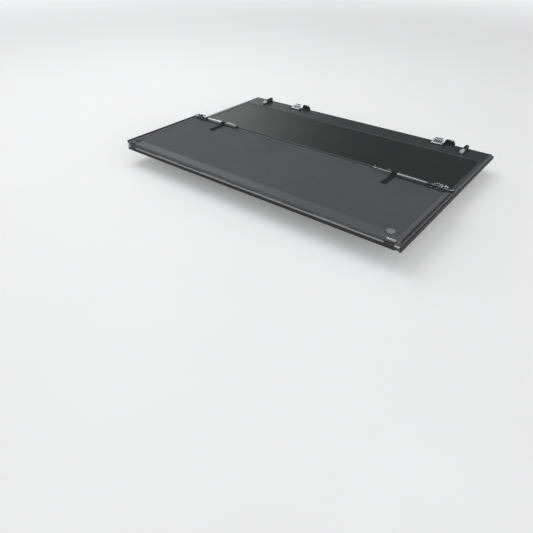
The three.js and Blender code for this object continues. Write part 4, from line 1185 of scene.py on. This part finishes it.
def add_hinge_end(body, side, sign, x0, x1):
    """A turned cap closing the hinge line."""
    end = ((0, 0), (0, 3.0), (0.5, 4.1), (1.2, 4.6))
    profile = [(x0 + inset, radius) for inset, radius in end]
    profile += [(x1 - inset, radius) for inset, radius in end[::-1]]
    add(f"hinge_end_{body}_{side}", lathe_x(profile, sign, HINGE.y, HINGE.z, 36), "steel",
        body)


def add_spacer_rod(name, node, joint_name):
    pivot = joint(joint_name)
    profile = rounded(low(node).x, high(node).x, 2.2, 0.5)
    add(name, lathe(profile, "X", (0, pivot.y, pivot.z), 28), "zinc", "spacer", node)


add_hinge_pin()
for side_name, side_sign in SIDES:
    add_hinge_end("middle", side_name, side_sign, 791.5, 800.5)
    add_hinge_end("rear", side_name, side_sign, 801.3, 811.0)
add_spacer_rod("rod_ront", "spacer_hinge_rod_front", "stack_fold")
add_spacer_rod("rod_ear", "spacer_hinge_rod_rear", "stack_tilt")


# ---------------------------------------------------------------- front clamps
def add_clamp_bolt(side):
    """A threaded bolt with a flange above its hexagon head."""
    pivot = joint("clamp_bolt_turn_" + side)
    bottom, top = low("front_clamp_bolt_" + side).z, high("front_clamp_bolt_" + side).z
    profile = [(top, 0), (top, 3.4)]
    z = top - 0.8
    while z > bottom + 12:
        profile += [(z, 4.45), (z - 0.75, 3.85)]
        z -= 1.5
    profile += [(z, 4.4), (bottom + 8, 4.4), (bottom + 8, 8.2), (bottom + 7.2, 8.9),
                (bottom + 7.2, 0)]
    bm = join(lathe(profile, "Z", (pivot.x, pivot.y, 0), 36),
              plate(circle(pivot.x, pivot.y, 9, 6, start=30), bottom, bottom + 7.2, 0.6))
    add("clamp_bolt_" + side, bm, "zinc", "clamp_bolt_" + side, "front_clamp_bolt_" + side,
        sharp=30)


for side_name, _ in SIDES:
    add_clamp_bolt(side_name)

# -------------------------------------------------------------- floor and world
BACKDROP = (0.985, 0.992, 1.0, 1)
BACKDROP_LEVEL = 0.93


def add_floor():
    """Pale paint that fades into the plain backdrop far from the object."""
    bpy.ops.mesh.primitive_plane_add(size=900, location=(0, 0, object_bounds()[0].z - 0.0006))
    floor = bpy.context.object
    floor.name = "floor"
    mat = Material("floor_paint")
    clouds = mat.ramp(mat.noise(scale=2.0, detail=4.0, rough=0.6), 0.3, 0.7)
    base = mat.mix(clouds, (0.84, 0.84, 0.845), (0.87, 0.87, 0.875))
    paint = mat.out(Base_Color=base, Roughness=0.62, Emission_Color=(1, 1, 1),
                    Emission_Strength=0.16)
    floor.data.materials.append(paint)
    backdrop = mat.new("ShaderNodeEmission", Color=BACKDROP, Strength=BACKDROP_LEVEL)
    length = mat.new("ShaderNodeVectorMath", operation="LENGTH")
    mat.put(length.inputs[0], mat.new("ShaderNodeNewGeometry").outputs["Position"])
    blend = mat.new("ShaderNodeMixShader")
    mat.put(blend.inputs[0], mat.map_range(length.outputs["Value"], start=3.2, end=9.0))
    mat.put(blend.inputs[1], mat.shader.outputs[0])
    mat.put(blend.inputs[2], backdrop.outputs[0])
    mat.put(mat.tree.nodes["Material Output"].inputs["Surface"], blend.outputs[0])


def build_world():
    """A bright studio: dark flat ahead (+Y), soft glow to its left, paler right wall."""
    sky, flat_share = 0.56, 0.12  # general level, and the share left on the dark flat
    world = bpy.data.worlds.new("studio")
    bpy.context.scene.world = world
    world.use_nodes = True
    sky_nodes = Graph(world.node_tree)
    calc = sky_nodes.math
    step = sky_nodes.map_range
    unit = sky_nodes.new("ShaderNodeVectorMath", operation="NORMALIZE")
    sky_nodes.put(unit.inputs[0], sky_nodes.new("ShaderNodeTexCoord").outputs["Generated"])
    direction = unit.outputs[0]

    def lobe(towards, outer, inner, level):
        """Light rising to level between two angles (degrees) from a direction."""
        facing = sky_nodes.dot(direction, Vector(towards).normalized())
        return step(facing, math.cos(math.radians(outer)), math.cos(math.radians(inner)),
                    0.0, level, kind="SMOOTHERSTEP")

    parts = sky_nodes.split(direction)
    leftward = calc("ARCTAN2", calc("MULTIPLY", parts[0], -1.0), parts[1])
    # The flat runs from 41 degrees left to a little right of ahead, and fades upward.
    left_edge = step(leftward, math.radians(36), math.radians(46), 1.0, 0.0)
    right_edge = step(leftward, math.radians(-22), math.radians(-4))
    top_edge = step(parts[2], math.sin(math.radians(62)), math.sin(math.radians(38)))
    flat = calc("MULTIPLY", calc("MULTIPLY", left_edge, right_edge), top_edge)
    dimming = calc("MULTIPLY", flat, 1.0 - flat_share)
    level = calc("MULTIPLY", sky, calc("SUBTRACT", 1.0, dimming))
    glow = lobe((-0.78, 0.62, 0.26), outer=24, inner=8, level=0.45)
    right_wall = lobe((1, -0.25, 0.05), outer=50, inner=10, level=1.3)
    level = calc("ADD", calc("ADD", level, glow), right_wall)
    # The camera itself sees the plain backdrop.
    camera_ray = sky_nodes.new("ShaderNodeLightPath").outputs["Is Camera Ray"]
    unseen = calc("MULTIPLY", level, calc("SUBTRACT", 1.0, camera_ray))
    seen = calc("MAXIMUM", unseen, calc("MULTIPLY", camera_ray, BACKDROP_LEVEL))
    background = world.node_tree.nodes["Background"]
    background.inputs["Color"].default_value = BACKDROP
    sky_nodes.put(background.inputs["Strength"], seen)


def add_area(name, location, target, width, height, power):
    """A rectangular light aimed at target and hidden from the camera."""
    light = bpy.data.lights.new(name, "AREA")
    light.shape = "RECTANGLE"
    light.size = width
    light.size_y = height
    light.energy = power
    lamp = bpy.data.objects.new(name, light)
    bpy.context.scene.collection.objects.link(lamp)
    lamp.location = location
    aim = Vector(target) - Vector(location)
    lamp.rotation_euler = aim.to_track_quat("-Z", "Y").to_euler()
    lamp.visible_camera = False


add_floor()
build_world()
add_area("key", location=(-2.2, -0.4, 4.2), target=(0, -0.6, 0), width=3.2, height=3.2,
         power=60)
add_area("fill", location=(8.8, -5.0, 2.7), target=(0.7, -0.8, 0), width=4.8, height=2.4,
         power=144)


# ----------------------------------------------------------------------- camera
def add_camera(position, pitch, yaw, roll, lens, shift_x, shift_y):
    """Angles in degrees: pitch down from level, yaw left from +Y, then roll."""
    pitch, yaw, roll = (math.radians(angle) for angle in (pitch, yaw, roll))
    level = Vector((-math.sin(yaw), math.cos(yaw), 0))
    across = Vector((math.cos(yaw), math.sin(yaw), 0))
    up = Vector((0, 0, 1))
    ahead = level * math.cos(pitch) - up * math.sin(pitch)
    below = -level * math.sin(pitch) - up * math.cos(pitch)
    right = across * math.cos(roll) + below * math.sin(roll)
    down = -across * math.sin(roll) + below * math.cos(roll)
    data = bpy.data.cameras.new("camera")
    camera = bpy.data.objects.new("camera", data)
    bpy.context.scene.collection.objects.link(camera)
    camera.matrix_world = Matrix((
        (right.x, -down.x, -ahead.x, position[0]),
        (right.y, -down.y, -ahead.y, position[1]),
        (right.z, -down.z, -ahead.z, position[2]),
        (0, 0, 0, 1)))
    data.sensor_width = 36
    data.lens = lens
    data.shift_x = shift_x
    data.shift_y = shift_y
    data.clip_start = 0.05
    data.clip_end = 100
    bpy.context.scene.camera = camera


add_camera(position=(1.337, -2.649, 1.048), pitch=35.97, yaw=38.36, roll=-0.14,
           lens=32.0893058, shift_x=0.0080675422, shift_y=-0.0065666041)
bpy.context.scene.view_settings.view_transform = "Standard"
